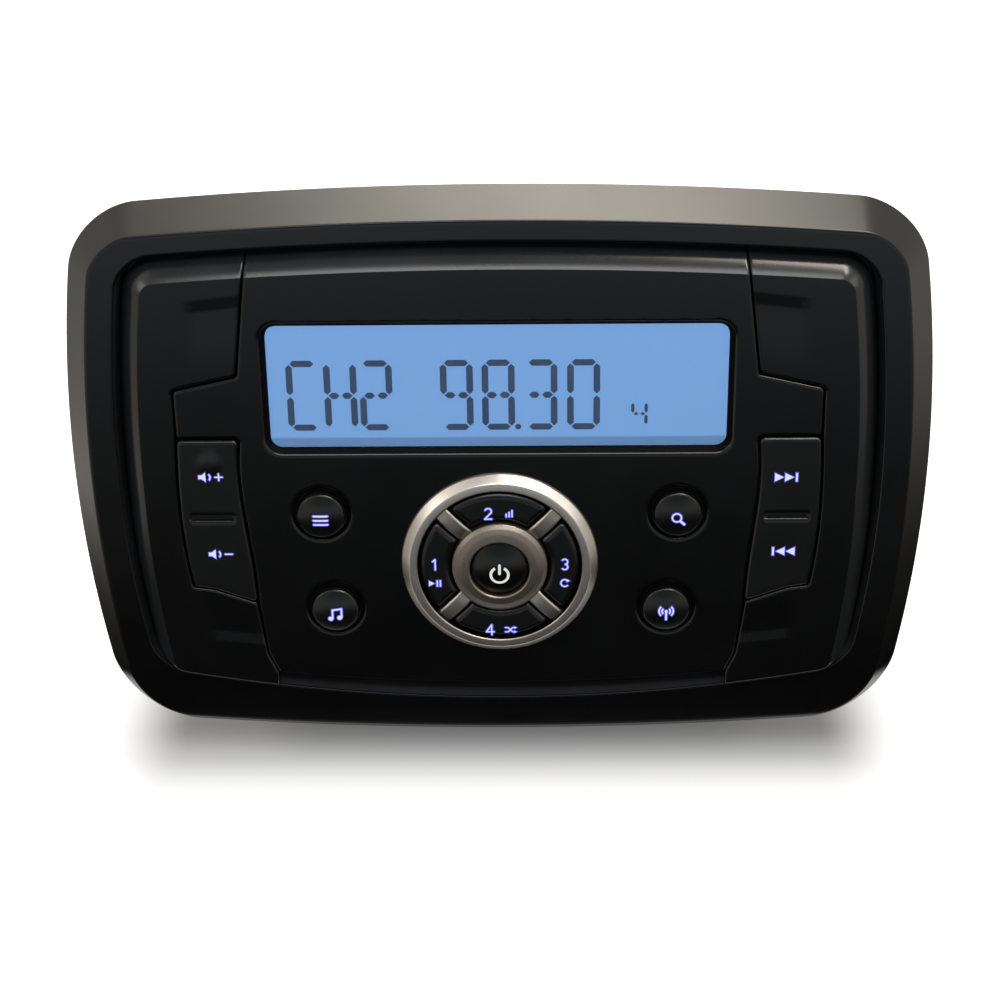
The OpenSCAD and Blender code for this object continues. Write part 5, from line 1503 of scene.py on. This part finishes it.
class STEREO_OT_legends(bpy.types.Operator):
    """Makes the lit legends on the keys and rockers"""
    bl_idname = "stereo.legends"
    bl_label = "Lit legends"

    def execute(self, context):
        scene = context.scene
        g, k, f = in_mm(scene.stereo_legends), in_mm(scene.stereo_keys), in_mm(scene.stereo_face)
        look = scene.stereo_finishes
        lights = lit("legend_glow", look.glow), lit("legend_core", look.core)
        white = lit("legend_white", look.power)

        def plate(flat):
            """The flat front of a rocker."""
            return np.full(len(flat), f.face_h + f.rocker_proud)

        def raised(flat):
            """The front of the volume rocker with its mound."""
            return plate(flat) + f.mound * mound(f, flat * (-1, 1))

        def preset_top(flat):
            """The flat top of a preset key."""
            return np.full(len(flat), f.face_h + k.preset_rise)

        def domed(centre, r, top, rise):
            """The domed top of a round key."""
            return lambda flat: dome_height(flat, centre, r, top - rise, top)

        x, z = rocker_middle(f), f.pivot_z
        low_x = x - g.lower_in
        volume_up = moved(speaker(1), (-x, z + g.up_z), SCALE["volume"])
        volume_down = moved(speaker(-1), (-low_x, z - g.down_z), SCALE["volume"])
        skip_next = moved(skip(1), (x, z + g.next_z), SCALE["skip"])
        skip_back = moved(skip(-1), (low_x, z - g.back_z), SCALE["skip"])
        legend(g, "volume_up", volume_up, raised, "volume_rocker", *lights)
        legend(g, "volume_down", volume_down, plate, "volume_rocker", *lights)
        legend(g, "skip_next", skip_next, plate, "seek_rocker", *lights)
        legend(g, "skip_back", skip_back, plate, "seek_rocker", *lights)
        signs = {"set_key": menu_lines(), "mode_key": source_note(),
                 "scan_key": search_glass(), "band_key": aerial_waves()}
        for name, (x, z) in key_places(k).items():
            surface = domed((x, z), k.key_r, f.face_h + k.key_proud, k.key_dome)
            sign = moved(signs[name], (x, z - g.key_drop), SCALE["key"])
            legend(g, name + "_sign", sign, surface, name, *lights)
        figures = numerals()
        extras = {1: play_pause(), 2: preview_bars(), 3: repeat_loop(), 4: shuffle_arrows()}
        column = (0, g.number_up), (0, -g.sign_down)
        beside = (-g.number_left, -g.row_down), (g.sign_right, -g.row_down)
        middle = (k.hub_r + k.ring_in_r) / 2
        for preset, turn in PRESETS.items():
            name = f"preset_key_{preset}"
            place = arc((0, k.pad_z), middle, turn, turn, 0)[0]
            first, second = column if preset in (1, 3) else beside
            figure = moved(figures[preset], place + first, SCALE["number"])
            legend(g, name + "_number", figure, preset_top, name, *lights)
            legend(g, name + "_sign", moved(extras[preset], place + second), preset_top, name, *lights)
        surface = domed((0, k.pad_z), k.hub_hole_r - k.key_gap, f.face_h + k.power_rise, k.power_dome)
        sign = moved(power_sign(), (0, k.pad_z - g.power_drop), SCALE["power"])
        legend(g, "power_sign", sign, surface, "power_key", white, white)
        return {"FINISHED"}


class STEREO_OT_rest(bpy.types.Operator):
    """Gives the chassis, the rear cover, the sockets and the inner parts their finishes"""
    bl_idname = "stereo.rest"
    bl_label = "Finishes of the other parts"

    def execute(self, context):
        finishes = {slot: moulded(slot, colour, rough, PART_GRAIN, depth=0.000008)
                    for slot, (colour, rough) in PLASTICS.items()}
        finishes |= {slot: satin_metal(slot, colour, rough) for slot, (colour, rough) in METALS.items()}
        for part in frame["record"]["subparts"]:
            if part["material_slot"] in finishes:
                mesh = frame["nodes"][part["node"]].data
                mesh.materials.clear()
                mesh.materials.append(finishes[part["material_slot"]])
        return {"FINISHED"}


def quad(name, corners, material):
    """A flat stage sheet from its four corners."""
    mesh = bpy.data.meshes.new(name)
    mesh.from_pydata(corners, [], [(0, 1, 2, 3)])
    mesh.materials.append(material)
    obj = bpy.data.objects.new(name, mesh)
    bpy.context.scene.collection.objects.link(obj)


def white_sheet(name, white):
    """A matt sheet that shows as white to the camera, in reflections and through the window."""
    n = Nodes.new(name).set(Base_Color=(white, white, white), Roughness=0.9, Specular_IOR_Level=0.0,
                            Emission_Color=(1, 1, 1))
    n.link(n.background_rays(), n.shader.inputs["Emission Strength"])
    return n


def plinth_white(s):
    """The plinth's white, with a painted shadow: it glows faintly under the object and fully at its edges,
    and this glow's gradient paints most of the shadow, to which the lamps add a faint real one.

    The glow rises with the root of the squared runs towards its sides and its front.
    """
    n = white_sheet("plinth_white", s.plinth_grey)
    place = n.axes()
    side_end = s.plinth_x - s.shadow_margin
    side = n.spread(n.math("ABSOLUTE", place["X"]), 0, 1, side_end - s.shadow_side, side_end)
    depth = n.math("MULTIPLY", place["Y"], -1)
    front = n.spread(depth, 0, 1, s.plinth_front - s.shadow_front, s.plinth_front)
    squares = n.math("ADD", n.math("MULTIPLY", side, side), n.math("MULTIPLY", front, front))
    reach = n.math("SQRT", squares)
    level = n.spread(reach, s.plinth_glow, 1, 0, 1, True)
    n.link(n.math("MULTIPLY", n.background_rays(), level), n.shader.inputs["Emission Strength"])
    return n


class STEREO_OT_stage(bpy.types.Operator):
    """Makes the plinth, the backdrop, the studio light and the camera at the photograph's angle"""
    bl_idname = "stereo.stage"
    bl_label = "Stage"

    def execute(self, context):
        s = context.scene.stereo_stage
        x, z = s.plinth_x, CAD_BOX[0][2] - s.plinth_drop
        front, back = -s.plinth_front, s.plinth_back
        plinth = [(-x, front, z), (x, front, z), (x, back, z), (-x, back, z)]
        # The plinth carries a painted shadow under and in front of the object.
        quad("plinth", plinth, plinth_white(s).material)
        x, y, low, top = s.backdrop_x, s.backdrop_y, s.backdrop_low, s.backdrop_top
        backdrop = [(-x, y, low), (x, y, low), (x, y, top), (-x, y, top)]
        quad("backdrop", backdrop, white_sheet("backdrop_white", s.backdrop_white).material)
        room_light(context.scene, s)
        aim = Vector((0, 0, s.aim_z))
        for side, (place, width, height) in SOFTBOXES.items():
            colour = s.lamp if side == "top" else (1, 1, 1)
            softbox("softbox_" + side, place, aim, width, height, getattr(s, side + "_light"), colour)
        photo_camera(context.scene, s, aim)
        context.scene.view_settings.view_transform = "Standard"
        return {"FINISHED"}


def room_light(scene, s):
    """Room light by direction: a pale table some way off, dark nearby, and brightest low on the left."""
    scene.world = scene.world or bpy.data.worlds.new("room")
    n = Nodes(scene.world, "Generated")
    n.tree.nodes.remove(n.tree.nodes["Background"])
    place = n.axes()
    height = n.spread(place["Z"], 0, 1, -1, 1)

    def levels(colour, stops):
        """The room's colour by height, where an angle a lies at (sin a + 1) / 2 of the ramp."""
        heights = [(math.sin(math.radians(a)) + 1) / 2 for a, _ in stops]
        return n.ramp(height, *[(at, shade(colour, level)) for at, (_, level) in zip(heights, stops)])

    front, left = levels(s.room_front, ROOM_FRONT), levels(s.room_left, ROOM_LEFT)
    right = levels(s.room_left, ROOM_RIGHT)
    to_left = n.spread(place["X"], 1, 0, -SIDE_END, -SIDE_START)
    to_right = n.spread(place["X"], 0, 1, SIDE_START, SIDE_END)
    colour = n.mix(to_right, n.mix(to_left, front, left), right)
    background = n.tree.nodes.new("ShaderNodeBackground")
    background.inputs["Strength"].default_value = s.room
    n.link(colour, background.inputs["Color"])
    n.link(background.outputs["Background"], n.tree.nodes["World Output"].inputs["Surface"])


def softbox(name, place, aim, width, height, power, colour):
    """A rectangular area lamp that faces a point."""
    lamp = bpy.data.lights.new(name, "AREA")
    lamp.shape = "RECTANGLE"
    lamp.size = width
    lamp.size_y = height
    lamp.energy = power
    lamp.color = colour
    obj = bpy.data.objects.new(name, lamp)
    obj.location = place
    obj.rotation_euler = (aim - Vector(place)).to_track_quat("-Z", "Y").to_euler()
    bpy.context.scene.collection.objects.link(obj)


def photo_camera(scene, s, aim):
    """A camera at the photograph's elevation, distance, roll and field of view, for a square image."""
    camera = bpy.data.cameras.new("photo_camera")
    camera.sensor_fit = "HORIZONTAL"
    camera.lens = camera.sensor_width * s.focal_px / IMAGE_PX
    camera.clip_start = 0.01
    obj = bpy.data.objects.new("photo_camera", camera)
    away = Vector((0, -math.cos(s.elevation), math.sin(s.elevation)))
    away.rotate(Matrix.Rotation(s.azimuth, 3, "Z"))
    turn = (-away).to_track_quat("-Z", "Y").to_matrix() @ Matrix.Rotation(s.roll, 3, "Z")
    obj.matrix_world = Matrix.Translation(aim + away * s.camera_distance) @ turn.to_4x4()
    scene.collection.objects.link(obj)
    scene.camera = obj


GROUPS = {"stereo_bezel": BezelSizes, "stereo_face": FaceSizes, "stereo_keys": KeySizes,
          "stereo_display": DisplaySizes, "stereo_legends": LegendSizes, "stereo_finishes": Finishes,
          "stereo_stage": StageSizes}
STEPS = (STEREO_OT_bezel, STEREO_OT_face, STEREO_OT_keys, STEREO_OT_display, STEREO_OT_legends,
         STEREO_OT_rest, STEREO_OT_stage)


class STEREO_PT_panel(bpy.types.Panel):
    """Sidebar panel with the sizes and the steps of the build, in order"""
    bl_idname = "STEREO_PT_panel"
    bl_label = "Marine Stereo"
    bl_space_type = "VIEW_3D"
    bl_region_type = "UI"
    bl_category = "Stereo"

    def draw(self, context):
        layout = self.layout
        for step in STEPS:
            layout.operator(step.bl_idname)
        for name, group in GROUPS.items():
            box = layout.box()
            box.label(text=group.__doc__)
            for size in group.__annotations__:
                box.prop(getattr(context.scene, name), size)


def register():
    """Registers the property groups, operators and panel."""
    for kind in (*GROUPS.values(), *STEPS, STEREO_PT_panel):
        bpy.utils.register_class(kind)
    for name, group in GROUPS.items():
        setattr(bpy.types.Scene, name, bpy.props.PointerProperty(type=group))


def unregister():
    """Takes them away again, in reverse order."""
    for name in reversed(GROUPS):
        delattr(bpy.types.Scene, name)
    for kind in reversed((*GROUPS.values(), *STEPS, STEREO_PT_panel)):
        bpy.utils.unregister_class(kind)


def main():
    """Builds everything in order."""
    register()
    bpy.ops.stereo.bezel()
    bpy.ops.stereo.face()
    bpy.ops.stereo.keys()
    bpy.ops.stereo.display()
    bpy.ops.stereo.legends()
    bpy.ops.stereo.rest()
    bpy.ops.stereo.stage()


if __name__ == "__main__":
    main()
